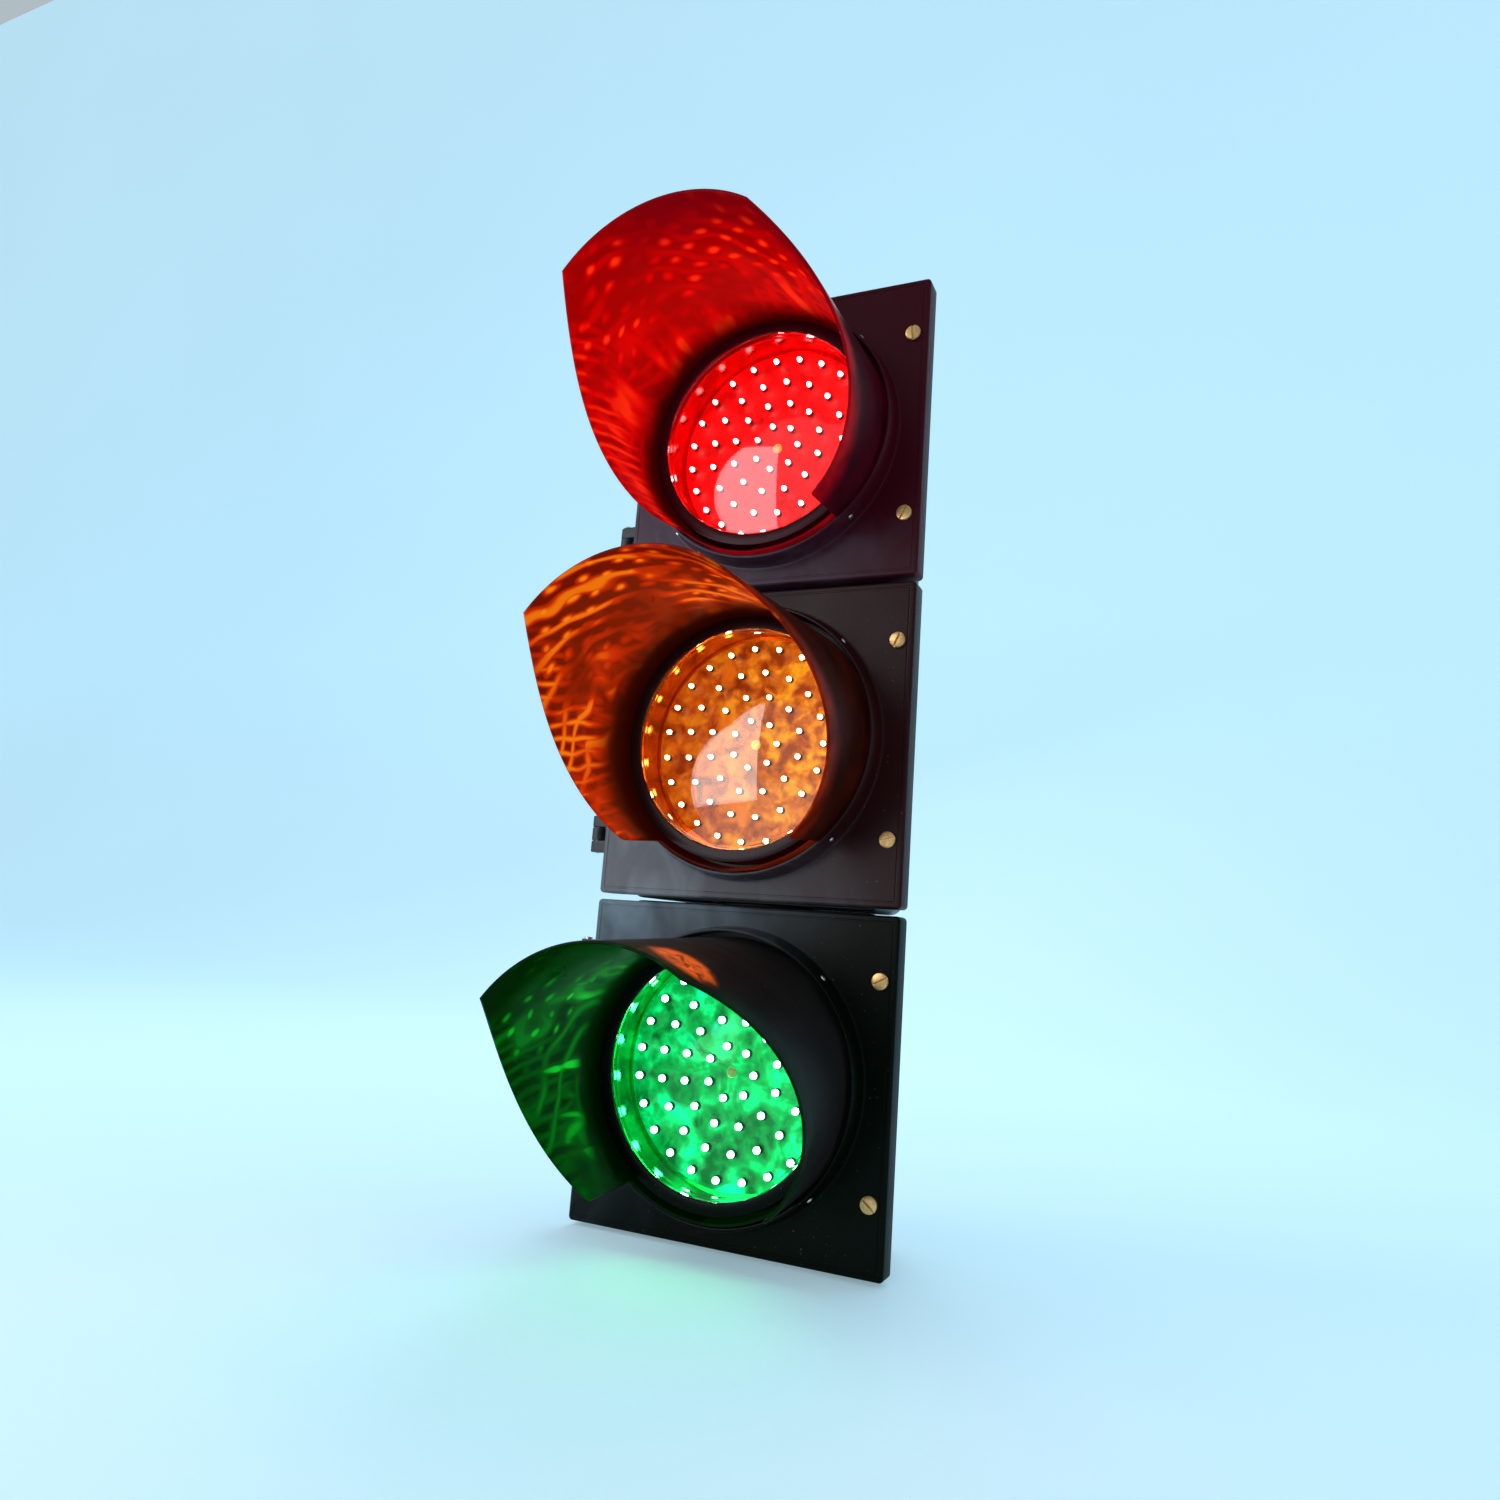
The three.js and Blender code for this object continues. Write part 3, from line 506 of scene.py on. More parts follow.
M = {
    "case": plastic("case_plastic", (0.010, 0.011, 0.014), (0.07, 0.074, 0.082), (0.34, 0.56), spec=0.35),
    "rubber": rubber("seal_rubber"),
    "brass": metal("brass", (0.86, 0.52, 0.21), (0.42, 0.21, 0.07), (0.30, 0.5), pits=0.25, metallic=0.7),
    # Painted light: the board screw of the red and amber lamps, a brighter brass that glows as if lit by its
    # diodes.
    "lit_brass": metal("lit_brass", (0.95, 0.72, 0.12), (0.60, 0.36, 0.05), (0.25, 0.45), metallic=0.5,
                       glow=0.6),
    "zinc": metal("zinc_steel", (0.62, 0.63, 0.65), (0.30, 0.30, 0.31), (0.25, 0.5), brushed=(1, 1, 14)),
    "driver": plastic("driver_plastic", (0.03, 0.034, 0.042), (0.12, 0.12, 0.12), (0.4, 0.6)),
    "terminal": plastic("terminal_plastic", (0.62, 0.58, 0.48), (0.4, 0.36, 0.28), (0.35, 0.55)),
    "wire": plastic("wire_sleeve", (0.02, 0.02, 0.022), (0.08, 0.08, 0.08), (0.4, 0.6)),
    "socket": plastic("led_socket", (0.004, 0.004, 0.004), (0.03, 0.03, 0.03), (0.4, 0.6)),
}
# Each lamp: its light, lens, board and diodes, then its door's plastic and its hood's; the cup's, board's,
# door's and hood's colours carry painted light. In a hood, band is where the painted shade of the dark ring
# by the lens ends, roof is the painted shade over the roof (from turn, to turn, depth from the edge,
# strength), spill is the (turn, reach) of the upper lamp's painted light, and weights are those of the
# painted veins, streaks, spots and stripes.
LAMP = {
    "red": dict(
        light=(1.0, 0.012, 0.006), watts=1.0, cup=(0.80, 0.03, 0.03), screw="lit_brass",
        clear=(1.0, 0.42, 0.42), haze=(0.25, 0.0, 0.0), haze_power=0.3, coat=1.5,
        dark=(0.52, 0.0, 0.0), board=(0.90, 0.0, 0.003), bright=(1.0, 0.006, 0.008), glint=(1.0, 0.01, 0.02),
        left=(0.9, 0.6, 0.6), grain=34, board_power=0.9, dot=0.72, core=(1.0, 0.93, 0.93),
        edge=(1.0, 0.8, 0.8),
        door=dict(base=(0.050, 0.001, 0.006), sheen=(0.17, 0.11, 0.16), reach=-2.6, gloss=0.1),
        hood=dict(low=(0.29, 0.0, 0.0), mid=(0.66, 0.0, 0.0), high=(1.0, 0.035, 0.003), slant=0.2,
                  dark=(0.03, 0.0, 0.0), band=(0.18, 0.38), roof=(-0.27, -0.02, 0.8, 0.92),
                  shade=(0.13, 0.0, 0.003), halo=(0.30, 0.0, 0.004), tint=(0.022, 0.0, 0.003), spill=None,
                  skin=(0.02, 0.003, 0.005), lining=(0.03, 0.0, 0.0), dust=(0.04, 0.003, 0.006),
                  weights=(0.35, 0.8, 1.0, 0.75))),
    "amber": dict(
        light=(1.0, 0.27, 0.01), watts=0.8, cup=(0.80, 0.26, 0.03), screw="lit_brass",
        clear=(1.0, 0.70, 0.42), haze=(0.10, 0.025, 0.0), haze_power=0.15, coat=1.55,
        dark=(0.22, 0.022, 0.0), board=(0.54, 0.160, 0.004), bright=(0.86, 0.52, 0.02),
        glint=(0.80, 0.30, 0.01),
        left=(0.62, 0.34, 0.3), grain=44, board_power=1.0, dot=0.69, core=(1.0, 0.97, 0.9),
        edge=(1.0, 0.86, 0.6),
        door=dict(base=(0.024, 0.003, 0.003), sheen=(0.38, 0.38, 0.41), reach=-2.2, gloss=0.12),
        hood=dict(low=(0.13, 0.0035, 0.0), mid=(0.56, 0.022, 0.0), high=(1.0, 0.30, 0.006), slant=0.16,
                  dark=(0.013, 0.0006, 0.0), band=(0.24, 0.46), roof=(-0.05, 0.10, 0.6, 0.6),
                  shade=(0.11, 0.005, 0.001), halo=(0.15, 0.010, 0.001), tint=(0.016, 0.002, 0.001),
                  spill=None,
                  skin=(0.012, 0.002, 0.001), lining=(0.02, 0.002, 0.0), dust=(0.03, 0.006, 0.003),
                  weights=(0.75, 0.7, 0.85, 0.8))),
    "green": dict(
        light=(0.0, 1.0, 0.18), watts=0.12, cup=(0.03, 0.70, 0.20), screw="brass",
        clear=(0.48, 1.0, 0.70), haze=(0.0, 0.06, 0.02), haze_power=0.10, coat=1.16,
        dark=(0.0, 0.10, 0.012), board=(0.0, 0.35, 0.070), bright=(0.0, 0.85, 0.30), glint=(0.0, 0.90, 0.50),
        left=(0.9, 0.8, 0.8), grain=34, board_power=1.4, dot=0.92, core=(0.94, 1.0, 0.96),
        edge=(0.7, 1.0, 0.85),
        door=dict(base=(0.001, 0.003, 0.001), sheen=(0.30, 0.36, 0.42), reach=1.8, gloss=0.06),
        hood=dict(low=(0.0, 0.009, 0.0), mid=(0.0, 0.070, 0.001), high=(0.002, 0.66, 0.02), slant=0.1,
                  dark=(0.0, 0.002, 0.0), band=(0.27, 0.36), roof=(-0.42, -0.30, 1.3, 0.95),
                  shade=(0.0, 0.006, 0.0), halo=(0.0, 0.010, 0.001), tint=(0.002, 0.002, 0.002),
                  spill=(0.14, 0.86),
                  skin=(0.009, 0.008, 0.008), lining=(0.0, 0.008, 0.0), dust=(0.02, 0.026, 0.022),
                  weights=(0.55, 0.9, 0.9, 0.45))),
}


# ---------------------------------------------------------------- one section
def door_shape():
    """The door's plate, rim, lens collar and visor socket, as one closed skin."""
    half_w, half_h, corner, depth, plate = (DOOR[k] for k in ("half_w", "half_h", "corner", "depth", "plate"))
    angles = [math.atan2(z, x) for x, _, z in rounded(half_w, half_h, corner, 0)]

    def circle(r, y):
        return [(r * math.cos(a), y, r * math.sin(a)) for a in angles]

    def rect(inset, y):
        return rounded(half_w - inset, half_h - inset, max(corner - inset, 1.2), y)
    front = [(0.5, depth), (0, depth - 0.6), (0, 2.0), (0.25, 1.2), (0.9, 0.4), (1.6, 0.05), (2.3, 0),
             (4.6, 0), (4.9, 0.4), (5.6, 0.5), (6.2, 0.4), (6.5, 0), (7.2, 0)]
    socket = [(131.9, 0), (130.9, 0), (129.7, -0.3), (129.0, -1.2), (128.7, -2.4), (127.1, -20.8),
              (126.7, -21.6), (126.0, -22), (124.7, -22), (124.1, -21.7), (123.8, -21), (123.7, -0.1),
              (115.2, -0.1)]
    collar = [(114.9, -23.4), (114.6, -24.2), (113.9, -24.5), (105.2, -24.5), (104.2, -24.2), (103.6, -23.5),
              (103.5, -21), (111.5, -21), (111.5, plate)]
    back = [(4, plate), (3, plate + 0.6), (3, depth - 0.6), (2.5, depth)]
    rings = [rect(*p) for p in front] + [circle(*p) for p in socket + collar] + [rect(*p) for p in back]
    return loft(rings, closed=True)


def around_hinge(degrees):
    """Points of a knuckle's round, in X and Y."""
    return [(HINGE_X + KNUCKLE * math.cos(rad(d)), HINGE_Y + KNUCKLE * math.sin(rad(d))) for d in degrees]


def hinge_lugs():
    """The door's four knuckles, each running into the door's edge over a small block."""
    outline = around_hinge(range(90, 271, 15)) + [(-147.2, HINGE_Y - KNUCKLE), (-147.2, HINGE_Y + KNUCKLE)]
    parts = []
    for z in (-HINGE_Z, HINGE_Z):
        for low, high in ((6.8, 17.8), (-17.8, -6.8)):
            parts.append(prism(outline, z + low, z + high))
            parts.append(block(-154.5, -148.0, 4.0, 14.5, z + low + 3.4, z + high - 3.4, 0.6))
    return join(*parts)


def visor_front(angle):
    """How far forward the hood reaches at an angle from its top, + towards +X, in degrees."""
    low, high, end, front = (VISOR[k] for k in ("left", "right", "sweep_end", "front"))
    if angle <= low or angle >= high:
        return VISOR["collar"]
    swept = abs(angle - VISOR["turn"]) - VISOR["tip"]
    if swept <= 0:
        return front
    share = 1 - swept / (VISOR["sweep"] - VISOR["tip"])
    corner = max(0.0, 1 - min(angle - low, high - angle) / VISOR["foot"])
    return end + (front - end) * share ** VISOR["sweep_power"] - 4.0 * (1 - math.sqrt(1 - corner * corner))


def spread(start, end, count):
    """Even steps that lead from start to end, without start itself."""
    return [start + (end - start) * i / count for i in range(1, count + 1)]


def visor_shape():
    """The hood and its collar: one wall thick, with a rounded edge along the swept cut."""
    low, high, turn, tip, foot, base = (VISOR[k] for k in ("left", "right", "turn", "tip", "foot", "base"))
    feet = (0.02, 0.2, 0.6, 1.1, foot)
    angles = [low + a for a in feet] + spread(low + foot, turn - tip, 46) + spread(turn - tip, turn + tip, 44)
    angles += spread(turn + tip, high - foot, 54) + [high - a for a in feet[-2::-1]]
    angles += [high + 0.1] + spread(high + 0.1, 360 + low - 0.1, 26)
    rings = [[] for _ in range(20)]
    for degrees in angles:
        top, t = visor_front(degrees), rad(degrees)
        half = [(0, base + (top - base) * share) for share in (0, 0.16, 0.33, 0.5, 0.66, 0.83)]
        half += [(0, top - 1.1), (0.15, top - 0.5), (0.6, top - 0.1), (1.1, top)]
        section = half + [(VISOR["wall"] - inset, s) for inset, s in half[::-1]]
        for ring, (inset, s) in zip(rings, section):
            r = VISOR["radius"] + VISOR["flare"] * s - inset
            ring.append((r * math.sin(t), -s, -VISOR["drop"] * s + r * math.cos(t)))
    return loft(rings, closed=True)


def mark_hood(obj, section):
    """Stores on each point of a hood whether it is inside, and its places from door, cut edge and top."""
    columns = {"inside": [], "reach": [], "edge": [], "turn": []}
    for vert in obj.data.vertices:
        x, y = vert.co.x * 1000, vert.co.y * 1000 + TUBE_Y
        z = vert.co.z * 1000 - FIRST_Z - PITCH * section - VISOR["drop"] * y
        angle = math.degrees(math.atan2(x, z))
        depth = VISOR["radius"] - VISOR["flare"] * y - math.hypot(x, z)
        columns["inside"].append(min(1.0, max(0.0, (depth - 0.3) / 1.2)))
        columns["reach"].append(-y / VISOR["front"])
        columns["edge"].append(max(0.0, visor_front(angle) + y) / 100)
        columns["turn"].append(angle / 180)
    for name, column in columns.items():
        obj.data.attributes.new(name, "FLOAT", "POINT").data.foreach_set("value", column)


def lens_shape():
    """A shallow dome with a flange behind it."""
    def face(radius, edge, apex):
        return [(radius * share, apex + (edge - apex) * share ** 2) for share in shares]
    shares = [1 - i / 14 for i in range(15)]
    outer = face(102.9, -23.4, -38)
    inner = face(100.1, -20.6, -35.2)[::-1]
    flange = [(100.1, -15.8), (110.9, -15.8), (110.9, -18.4)]
    return turned([(102.9, -18.4)] + outer + inner + flange, FINE)


def led_positions():
    """Centres of the diodes, ring by ring, in X and Z."""
    for count, radius, first in LED_RINGS:
        for i in range(count):
            a = rad(first + 360 * i / count)
            yield radius * math.cos(a), radius * math.sin(a)


def housing_shape():
    """The case of one section: narrower and rounded at its back, open at its front, with a flange there."""
    depth, corner, wall, step = (CASE[k] for k in ("depth", "corner", "wall", "step"))
    high, inner_high, neck = (CASE[k] for k in ("half_h", "inner_h", "neck_h"))
    bend = depth - corner

    def ring(half_w, half_h, corner, y):
        return rounded(half_w, half_h, corner, y, per_corner=6, per_side=16)

    def half(y):
        return CASE["front"] - (CASE["front"] - CASE["back"]) * (y - CASE["lip"]) / (depth - CASE["lip"])
    outer = [ring(20, 24, 8, depth), ring(90, 110, 12, depth)]
    for i in range(7):
        a = math.pi / 2 * i / 6
        pull, y = corner * (1 - math.sin(a)), bend + corner * math.cos(a)
        outer.append(ring(half(y) - pull, high - pull, 13, y))
    outer += [ring(half(70), high, 13, 70), ring(half(23), high, 12, 23),
              ring(half(22) - 0.3, high - 0.65, 12, 21.9), ring(half(step) - 1, high - 1.35, 12, step),
              ring(half(step) - 1.2, neck + 0.4, 12, step),
              ring(half(21), neck, 12, 21.2), ring(half(17), neck, 12, 16.4)]
    flange = [ring(141.2, 141.1, 6.5, 16), ring(142, 141.5, 7, 15.4), ring(142, 141.5, 7, 12.6),
              ring(141.4, 141.1, 6.5, 12)]
    inner = [ring(125.4, 138, 9, 12), ring(125, 138, 9, 12.6), ring(124.6, 138, 9, 24.4),
             ring(124.4, inner_high - 0.6, 9, 24.6), ring(124.2, inner_high, 9, 25.4)]
    for i in range(6):
        a = math.pi / 2 * i / 5
        pull, y = (corner - wall) * (1 - math.cos(a)), bend + (corner - wall) * math.sin(a)
        inner.append(ring(half(y) - wall - pull, inner_high - pull, 9, y))
    inner += [ring(88, 108, 9, depth - wall), ring(18, 22, 6, depth - wall)]
    return loft(outer + flange + inner, caps=True)


def boss_shape(side):
    """The ring round the hole in a section's top (side 1) or bottom (side -1), recessed round the hole."""
    outer, hole, inner, face, recess, sunk = (
        BOSS[k] for k in ("outer", "hole", "inner", "face", "recess", "recess_depth"))
    profile = [(hole, inner + 0.2), (hole + 0.3, inner), (outer - 0.3, inner), (outer, inner + 0.3),
               (outer, face - 0.8), (outer - 0.8, face), (recess + 0.8, face), (recess + 0.1, face - 0.7),
               (recess, face - sunk), (hole + 0.6, face - sunk), (hole, face - sunk - 0.6)]
    return upright([(r, side * z) for r, z in profile], 64)


def ear_shapes():
    """The case's hinge ears, its ears for the latch screws with a button behind each, and two side pads."""
    outline = [(HINGE_X + 8.0, 22), (HINGE_X + 5.0, 14)] + around_hinge(range(35, -181, -18))
    outline += [(HINGE_X - KNUCKLE, 28), (-123, 28), (-123, 22)]
    button = [(0, 24.4), (3.8, 24.4), (4.4, 24.1), (4.4, 23), (0, 23)]
    parts = []
    for z in (-HINGE_Z, HINGE_Z):
        rings = []
        for dz, inset in ((-6.2, 0.5), (-5.7, 0), (5.7, 0), (6.2, 0.5)):
            rings.append([(x + (inset if x < -150 else 0), y, z + dz) for x, y in outline])
        parts.append(loft(rings, caps=True))
    for z in (LATCH_LOW, LATCH_HIGH):
        parts.append(block(124, 147, 15.5, 24, z - 9, z + 9, 1.0))
        parts.append(turned(button, 24, LATCH_X, z, closed=False))
    for x0, x1 in ((-123.5, -101.5), (106.5, 128.5)):
        parts.append(block(x0, x1, 23.9, 34, -11, 11, 0.8))
    return join(*parts)


def seal_shape():
    """The strip between the door and the case."""
    rings = [rounded(half_w, half_h, corner, y, 6, 16) for half_w, half_h, corner, y in (
        (139, 140, 6, 11.4), (138.7, 139.7, 6, 3.8), (138.2, 139.2, 5.5, 3.5), (127.8, 128.8, 3, 3.5),
        (127.2, 128.2, 2.6, 3.9), (127, 128, 2.5, 11.4))]
    return loft(rings, closed=True)


def visor_screw_shapes():
    """Four domed heads round the visor's socket, each along its own radius."""
    forward, heads = Vector((0, -1, 0)), []
    for degrees in (45, 135, 225, 315):
        a = rad(degrees)
        out, side = Vector((math.sin(a), 0, math.cos(a))), Vector((math.cos(a), 0, -math.sin(a)))
        rings = []
        for r, h in ((2.9, 0), (2.9, 2.1), (2.5, 2.9), (1.4, 3.4), (0, 3.5)):
            centre = out * (126.0 + h) + forward * 9.5
            turns = [rad(18 * k) for k in range(20 if r else 1)]
            rings.append([tuple(centre + (side * math.cos(t) - forward * math.sin(t)) * r) for t in turns])
        heads.append(loft(rings))
    return join(*heads)


BOX_SIDES = [[0, 1, 3, 2], [4, 6, 7, 5], [0, 4, 5, 1], [2, 3, 7, 6], [0, 2, 6, 4], [1, 5, 7, 3]]
BOARD_SCREW = dict(radius=4.6, top=12.6, base=15.7, slot=1.2, slot_depth=1.1, dome=1.4,
                   shank=2.0, tip=27.0, neck=15.4)
LATCH_SCREW = dict(radius=7.2, top=-3.8, base=-0.3, slot=2.1, slot_depth=2.2, dome=1.1,
                   shank=3.0, tip=23.0, neck=-0.5)


def screw_shape(kind, x, z):
    """A domed head and its shank along Y."""
    radius, top, base, shank, tip = (kind[k] for k in ("radius", "top", "base", "shank", "tip"))
    turns = [rad(t) for t in (0, 18, 36, 54, 70)]
    dome = [(radius * math.sin(t), top + kind["dome"] * (1 - math.cos(t))) for t in turns]
    rim = dome[-1][1]
    head = dome + [(radius * 0.985, rim + 0.2), (radius, rim + 0.6), (radius, base - 0.3),
                   (radius - 0.3, base), (0, base)]
    thread = [(0, tip), (shank * 0.7, tip), (shank, tip - 1), (shank, kind["neck"]), (0, kind["neck"])]
    return join(turned(head, 48, x, z, closed=False), turned(thread, 20, x, z, closed=False))


def slotted(name, body, node, section, kind, x, z, degrees, mat):
    """A brass screw whose slot is turned by degrees."""
    obj = add(name, *screw_shape(kind, x, z), body, "brass", mat, [node], section)
    c, s = math.cos(rad(degrees)), math.sin(rad(degrees))
    reach, half = kind["radius"] + 1, kind["slot"] / 2
    corners = []
    for u in (-reach, reach):
        for v in (-half, half):
            for y in (kind["top"] - 1.5, kind["top"] + kind["slot_depth"]):
                corners.append((x + u * c - v * s, y, z + u * s + v * c))
    cut(obj, corners, BOX_SIDES, section)


LENS_SEAL = [(105, -20.6), (105.1, -18.8), (111, -18.7), (111.1, -20.6)]
RETAINING_RING = [(106.5, -15.2), (106.8, -15.5), (110.8, -15.5), (111.1, -15.2), (111.1, -13.3),
                  (110.8, -13), (106.8, -13), (106.5, -13.3)]
CUP = [(0, 19.2), (105.5, 19.2), (105.5, -11.8), (105.9, -12.4), (106.7, -12.4), (107, -12), (107, 20.4),
       (106.6, 20.7), (0, 20.7)]
BOARD = [(0, 16), (102.6, 16), (103, 16.3), (103, 17.4), (102.7, 17.6), (0, 17.6)]
DIODE = [(3.6, 16), (3.6, 14.8), (3.4, 14.6), (3.4, 10.8), (3.15, 9.4), (2.5, 8.3), (1.4, 7.7), (0, 7.5)]
DIODE_COLLAR = [(3.45, 11.4), (4.1, 11.6), (4.4, 12.2), (4.4, 16), (3.45, 16)]
HINGE_PIN = [(0, -18.6), (2.3, -18.6), (2.9, -18.0), (2.9, 18.5), (4.2, 18.6), (4.4, 18.9), (4.2, 19.7),
             (3.4, 20.2), (0, 20.2)]
SLOT_TURNS = {"upper": (28, 66, 95), "lower": (-40, 15, 60)}


def maker(section, colour):
    """Adds pieces of one section, each with the colour after its name."""
    def make(name, shape, body, slot, mat, *nodes):
        return add(name + "_" + colour, *shape, body, slot, mat, nodes, section)
    return make


def build_door(make, section, colour, lamp):
    """The door with all that it carries except its latch screws."""
    door = "door_assembly_" + colour
    make("door_shell", door_shape(), door, "door", door_material("door_" + colour, lamp["door"], section),
         "door_" + colour)
    make("door_hinge_lugs", hinge_lugs(), door, "door", M["case"])
    hood_mat = hood_material("visor_" + colour, lamp["hood"])
    mark_hood(make("visor_hood", visor_shape(), door, "visor", hood_mat, "visor_" + colour), section)
    lens = "lens_" + colour
    make("lens_dome", lens_shape(), door, lens, lens_material(lens, lamp), lens)
    make("lens_seal", turned(LENS_SEAL, FINE), door, "rubber_seal", M["rubber"], "lens_gasket_" + colour)
    make("retaining_ring", turned(RETAINING_RING, FINE), door, "case", M["case"],
         "lens_retaining_ring_" + colour)
    make("visor_screws", visor_screw_shapes(), door, "zinc_steel", M["zinc"])


def build_case(make, section, colour):
    """The case, its ears, bosses and seal, with the holes for the coupling and for the latch screws."""
    root = "housing_stack"
    make("case_shell", housing_shape(), root, "case", M["case"], "housing_" + colour)
    shell = bpy.data.objects["case_shell_" + colour]
    bore = BOSS["outer"] - 0.2
    cut(shell, *upright([(0, -160), (bore, -160), (bore, 160), (0, 160)], 64, closed=False), section)
    make("case_lugs", ear_shapes(), root, "case", M["case"])
    make("case_bosses", join(boss_shape(1), boss_shape(-1)), root, "case", M["case"])
    make("door_seal", seal_shape(), root, "rubber_seal", M["rubber"], "door_gasket_" + colour)
    hole = [(0, -1), (LATCH_HOLE, -1), (LATCH_HOLE, 26), (0, 26)]
    holes = join(*[turned(hole, 24, LATCH_X, z, closed=False) for z in (LATCH_LOW, LATCH_HIGH)])
    for pierced in ("door_shell_", "door_seal_", "case_shell_"):
        cut(bpy.data.objects[pierced + colour], *holes, section)


def build_lamp(make, section, colour, lamp):
    """The cup, the board with its diodes, and the board's screw."""
    root = "housing_stack"
    # Painted light: the spun metal takes its lamp's colour.
    cup_mat = metal("spun_reflector_" + colour, lamp["cup"], tuple(c * 0.7 for c in lamp["cup"]), (0.08, 0.2),
                    brushed=(1, 30, 1), pits=0.08)
    make("reflector_cup", turned(CUP, FINE, closed=False), root, "reflector", cup_mat, "light_cup_" + colour)
    make("led_circuit_board", turned(BOARD, FINE, closed=False), root, "lamp_" + colour,
         board_material("board_" + colour, lamp), "led_board_" + colour)
    diode, collar = ([(r * lamp["dot"], y) for r, y in profile] for profile in (DIODE, DIODE_COLLAR))
    diodes = join(*[turned(diode, 12, x, z, closed=False) for x, z in led_positions()])
    make("diodes", diodes, root, "lamp_" + colour, led_material("diode_" + colour, lamp))
    collars = join(*[turned(collar, 12, x, z) for x, z in led_positions()])
    make("diode_collars", collars, root, "case", M["socket"])
    slotted("board_fixing_" + colour, root, "board_screw_" + colour, section, BOARD_SCREW, 0, 0, 20,
            M[lamp["screw"]])


def build_fasteners(make, section, colour):
    """The hinge pins, which stay with the case, and the latch screws, which turn in the door."""
    for where, side, height in (("upper", 1, LATCH_HIGH), ("lower", -1, LATCH_LOW)):
        tail = "_%s_%s" % (colour, where)
        pin = upright([(r, z + side * HINGE_Z) for r, z in HINGE_PIN], 28, HINGE_X, HINGE_Y, closed=False)
        make("pin_" + where, pin, "housing_stack", "zinc_steel", M["zinc"], "hinge_pin" + tail)
        screw, turn = "latch_screw" + tail, SLOT_TURNS[where][section]
        slotted(screw, screw, "door_screw" + tail, section, LATCH_SCREW, LATCH_X, height, turn, M["brass"])


def light_lamp(section, colour, lamp):
    """The lamp's own light, just in front of the lens."""
    light = bpy.data.lights.new("lamp_light_" + colour, "AREA")
    light.shape, light.size, light.energy, light.color = "DISK", 0.19, lamp["watts"], lamp["light"]
    obj = bpy.data.objects.new("lamp_light_" + colour, light)
    obj.location = place([(0, -44, 0)], section)[0]
    obj.rotation_euler = (rad(-90), 0, 0)
    obj.visible_camera = False
    obj.visible_glossy = False
    bpy.context.scene.collection.objects.link(obj)


def build_section(section, colour):
    make, lamp = maker(section, colour), LAMP[colour]
    build_door(make, section, colour, lamp)
    build_case(make, section, colour)
    build_lamp(make, section, colour, lamp)
    build_fasteners(make, section, colour)
    light_lamp(section, colour, lamp)


# ---------------------------------------------------------------- pieces between the sections
CEILING, TUBE_RADIUS = 137.7, 25.5
JOINT_SEAL = [(35.5, 149.2), (35.5, 150.8), (43.6, 150.9), (44, 150.5), (44, 149.5), (43.6, 149.1)]
TOP_CAP = [(22.6, 130), (25.2, 130), (25.6, 130.6), (25.6, 144.5), (33.2, 144.5), (33.5, 144.9),
           (33.3, 147.4), (32.6, 148.2), (31.4, 148.5), (14.6, 148.5), (14.1, 147.9), (10.4, 147.9),
           (9.9, 148.5), (0, 148.5), (0, 142), (22.6, 141.5)]
TERMINAL_SCREW = [(0, 117.2), (2.2, 117.2), (2.6, 117.5), (2.6, 118), (0, 118)]


def tube_profile():
    """A flange under one section's ceiling, and a thread above the floor of the next."""
    floor = PITCH - CEILING
    top = floor + 12
    flange = [(20, CEILING - 4), (33.4, CEILING - 4), (34, CEILING - 3.4), (34, CEILING - 0.5),
              (33.5, CEILING), (TUBE_RADIUS, CEILING)]
    thread = []
    for k in range(9):
        z = floor + 1.2 + k * 1.2
        thread += [(TUBE_RADIUS, z), (TUBE_RADIUS - 0.6, z + 0.6)]
    return flange + thread + [(TUBE_RADIUS, top - 1), (24.6, top), (20.8, top), (20, top - 0.8)]


def build_common():
    """The couplings, the top cap and its nut, the wiring, and the CAD nodes that are kept."""
    root = "housing_stack"
    for where, i in (("lower", 0), ("upper", 1)):
        tube, seal = upright(tube_profile(), 56), upright(JOINT_SEAL, 64)
        add("threaded_tube_" + where, *tube, root, "zinc_steel", M["zinc"], ["coupling_tube_" + where], i)
        add("joint_seal_" + where, *seal, root, "rubber_seal", M["rubber"], ["coupling_seal_" + where], i)
    add("top_cap", *upright(TOP_CAP, 64, closed=False), root, "case", M["case"], ["top_plug"], 2)
    for name in ("coupling_nut_lower", "coupling_nut_upper", "top_plug_nut"):
        dress(name, M["zinc"] if "coupling" in name else M["case"], bevel=0.0008)
    dress("terminal_block", M["terminal"], bevel=0.0004)
    screws = [turned(TERMINAL_SCREW, 20, -36.5 + 14.6 * k, -102, closed=False) for k in range(6)]
    add("terminal_screws", *join(*screws), root, "zinc_steel", M["zinc"])
    for colour in SECTIONS:
        dress("lead_" + colour, M["wire"], smooth=1)
        dress("lamp_bracket_" + colour, M["zinc"], bevel=0.0005)
        dress("led_driver_" + colour, M["driver"], bevel=0.0012)


def dress(node, mat, bevel=0.0, smooth=0):
    """A carried-over CAD node gets its material, and modifiers for its edges."""
    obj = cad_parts[node]
    obj.data.materials.clear()
    obj.data.materials.append(mat)
    for slot in obj.material_slots:
        slot.material = mat
    if bevel:
        mod = obj.modifiers.new("edges", "BEVEL")
        mod.width, mod.segments, mod.limit_method, mod.angle_limit = bevel, 2, "ANGLE", rad(40)
    if smooth:
        mod = obj.modifiers.new("round", "SUBSURF")
        mod.levels = mod.render_levels = smooth


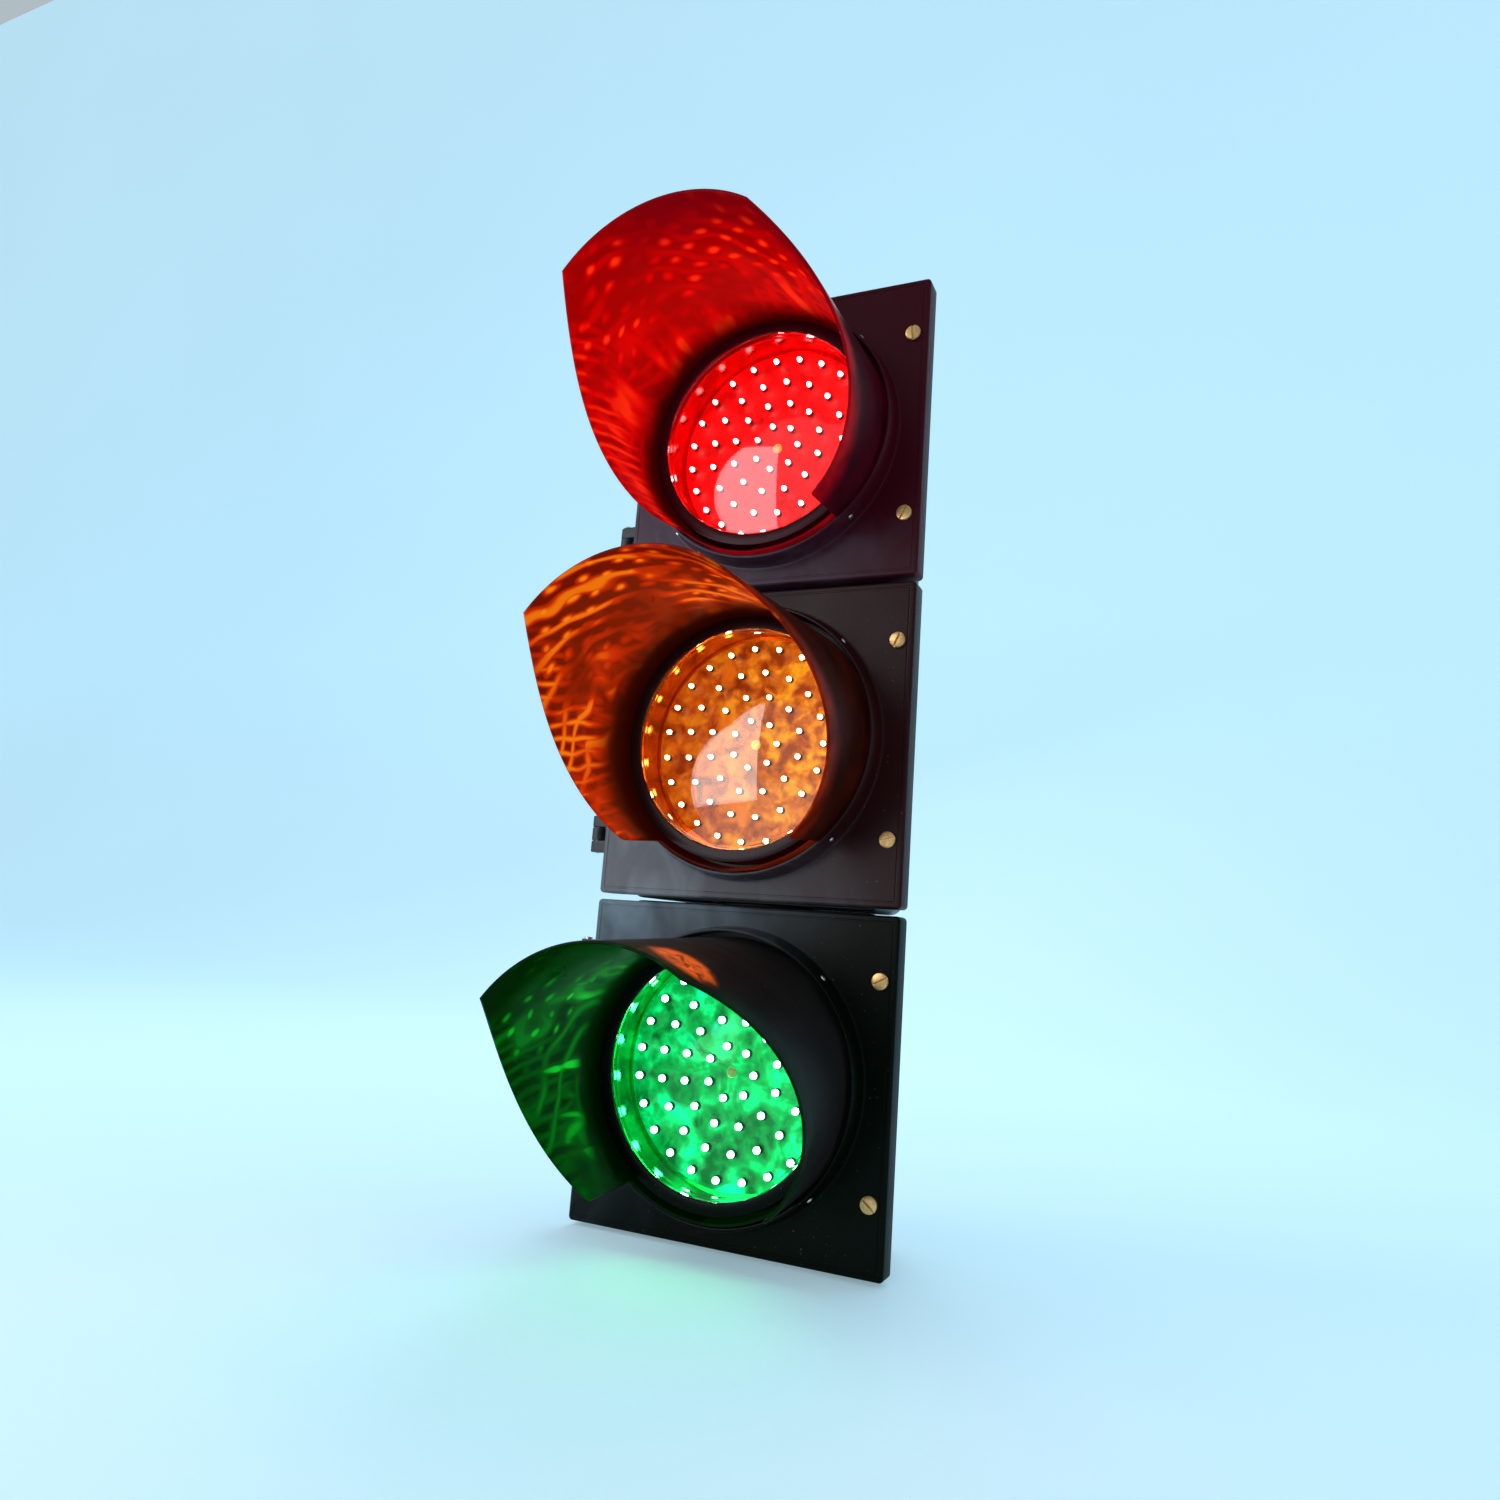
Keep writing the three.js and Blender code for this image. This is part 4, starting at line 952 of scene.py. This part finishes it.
# ---------------------------------------------------------------- studio
# Sizes, positions and aims in metres, powers in watts.
LIGHTS = {
    "key": dict(size=1.6, watts=16, at=(-2.3, -1.3, 2.2), aim=(0, 0, 0.5), colour=(1.0, 0.98, 0.97)),
    "window": dict(size=1.15, watts=20, at=(-0.88, -1.31, 0.67), aim=(0, -0.1, 0.6),
                   colour=(0.96, 0.95, 1.0)),
    "fill": dict(size=2.4, watts=1.8, at=(2.6, -2.0, 1.2), aim=(0, 0, 0.45), colour=(0.93, 0.96, 1.0)),
    "back": dict(size=1.2, watts=14, at=(-0.8, 2.0, 2.2), aim=(0, 0, 0.5), colour=(1.0, 1.0, 1.0)),
}
FLOOR_COLOUR, SKY_COLOUR, SKY_POWER = (0.58, 0.82, 0.93), (0.80, 0.92, 1.0, 1), 0.55
PAPER_GLOW = 0.36
CAMERA_AT, AZIMUTH, ELEVATION, ROLL = (0.4222, -0.9718, 0.2668), rad(25.03), rad(-9.93), rad(4.24)
FOCAL_LENGTH, SENSOR = 25.9896, 36


def stage_material(name, colour):
    """Pale paper that glows a little, so that no horizon shows."""
    n = Nodes(name)
    clouds = n.noise(0.8, 3)
    tint = n.ramp(clouds, [(0.3, colour), (0.7, tuple(min(1, c * 1.02) for c in colour))])
    n.shade([("Base Color", tint), ("Roughness", n.ramp(clouds, [(0.3, 0.85), (0.7, 0.95)])),
             ("Normal", n.bump(n.noise(300, 2), 0.02)), ("Emission Color", tint),
             ("Emission Strength", PAPER_GLOW)])
    return n.mat


def build_floor():
    """A floor that curves up into a backdrop."""
    floor_z, bend_y, radius = -0.002, 1.6, 1.6
    width, front, rise = 9.0, -6.0, 7.0
    profile = [(front, floor_z), (bend_y, floor_z)]
    for k in range(1, 13):
        a = math.pi / 2 * k / 12
        profile.append((bend_y + radius * math.sin(a), floor_z + radius * (1 - math.cos(a))))
    profile.append((bend_y + radius, rise))
    verts, faces = [], []
    for y, z in profile:
        verts += [(-width, y, z), (width, y, z)]
    for k in range(len(profile) - 1):
        faces.append([2 * k, 2 * k + 1, 2 * k + 3, 2 * k + 2])
    data = bpy.data.meshes.new("studio_floor")
    data.from_pydata(verts, [], faces)
    data.polygons.foreach_set("use_smooth", [True] * len(data.polygons))
    data.materials.append(stage_material("pale_floor", FLOOR_COLOUR))
    floor = bpy.data.objects.new("studio_floor", data)
    bpy.context.scene.collection.objects.link(floor)


def build_lights():
    """The sky and four square lights; the window shows in reflections only."""
    world = bpy.data.worlds.new("studio")
    bpy.context.scene.world = world
    world.use_nodes = True
    back = world.node_tree.nodes["Background"]
    back.inputs[0].default_value = SKY_COLOUR
    back.inputs[1].default_value = SKY_POWER
    for name, look in LIGHTS.items():
        light = bpy.data.lights.new(name, "AREA")
        light.shape, light.size = "SQUARE", look["size"]
        light.energy, light.color = look["watts"], look["colour"]
        obj = bpy.data.objects.new(name, light)
        obj.location = look["at"]
        obj.rotation_euler = (Vector(look["aim"]) - Vector(look["at"])).to_track_quat("-Z", "Y").to_euler()
        obj.visible_camera = False
        obj.visible_diffuse = name != "window"
        bpy.context.scene.collection.objects.link(obj)


def build_camera():
    """The main camera, from its azimuth, elevation and roll."""
    level = math.cos(ELEVATION)
    back = Vector((math.sin(AZIMUTH) * level, -math.cos(AZIMUTH) * level, math.sin(ELEVATION)))
    right = Vector((math.cos(AZIMUTH), math.sin(AZIMUTH), 0))
    up = back.cross(right)
    x_axis = right * math.cos(ROLL) + up * math.sin(ROLL)
    y_axis = up * math.cos(ROLL) - right * math.sin(ROLL)
    data = bpy.data.cameras.new("camera")
    data.lens, data.sensor_width = FOCAL_LENGTH, SENSOR
    data.clip_start = 0.02
    obj = bpy.data.objects.new("camera", data)
    turn = Matrix((x_axis, y_axis, back)).transposed().to_4x4()
    obj.matrix_world = Matrix.Translation(CAMERA_AT) @ turn
    bpy.context.scene.collection.objects.link(obj)
    bpy.context.scene.camera = obj


for number, colour_name in enumerate(SECTIONS):
    build_section(number, colour_name)
build_common()
build_floor()
build_lights()
build_camera()
bpy.context.scene.view_settings.view_transform = "Standard"
bpy.context.view_layer.update()
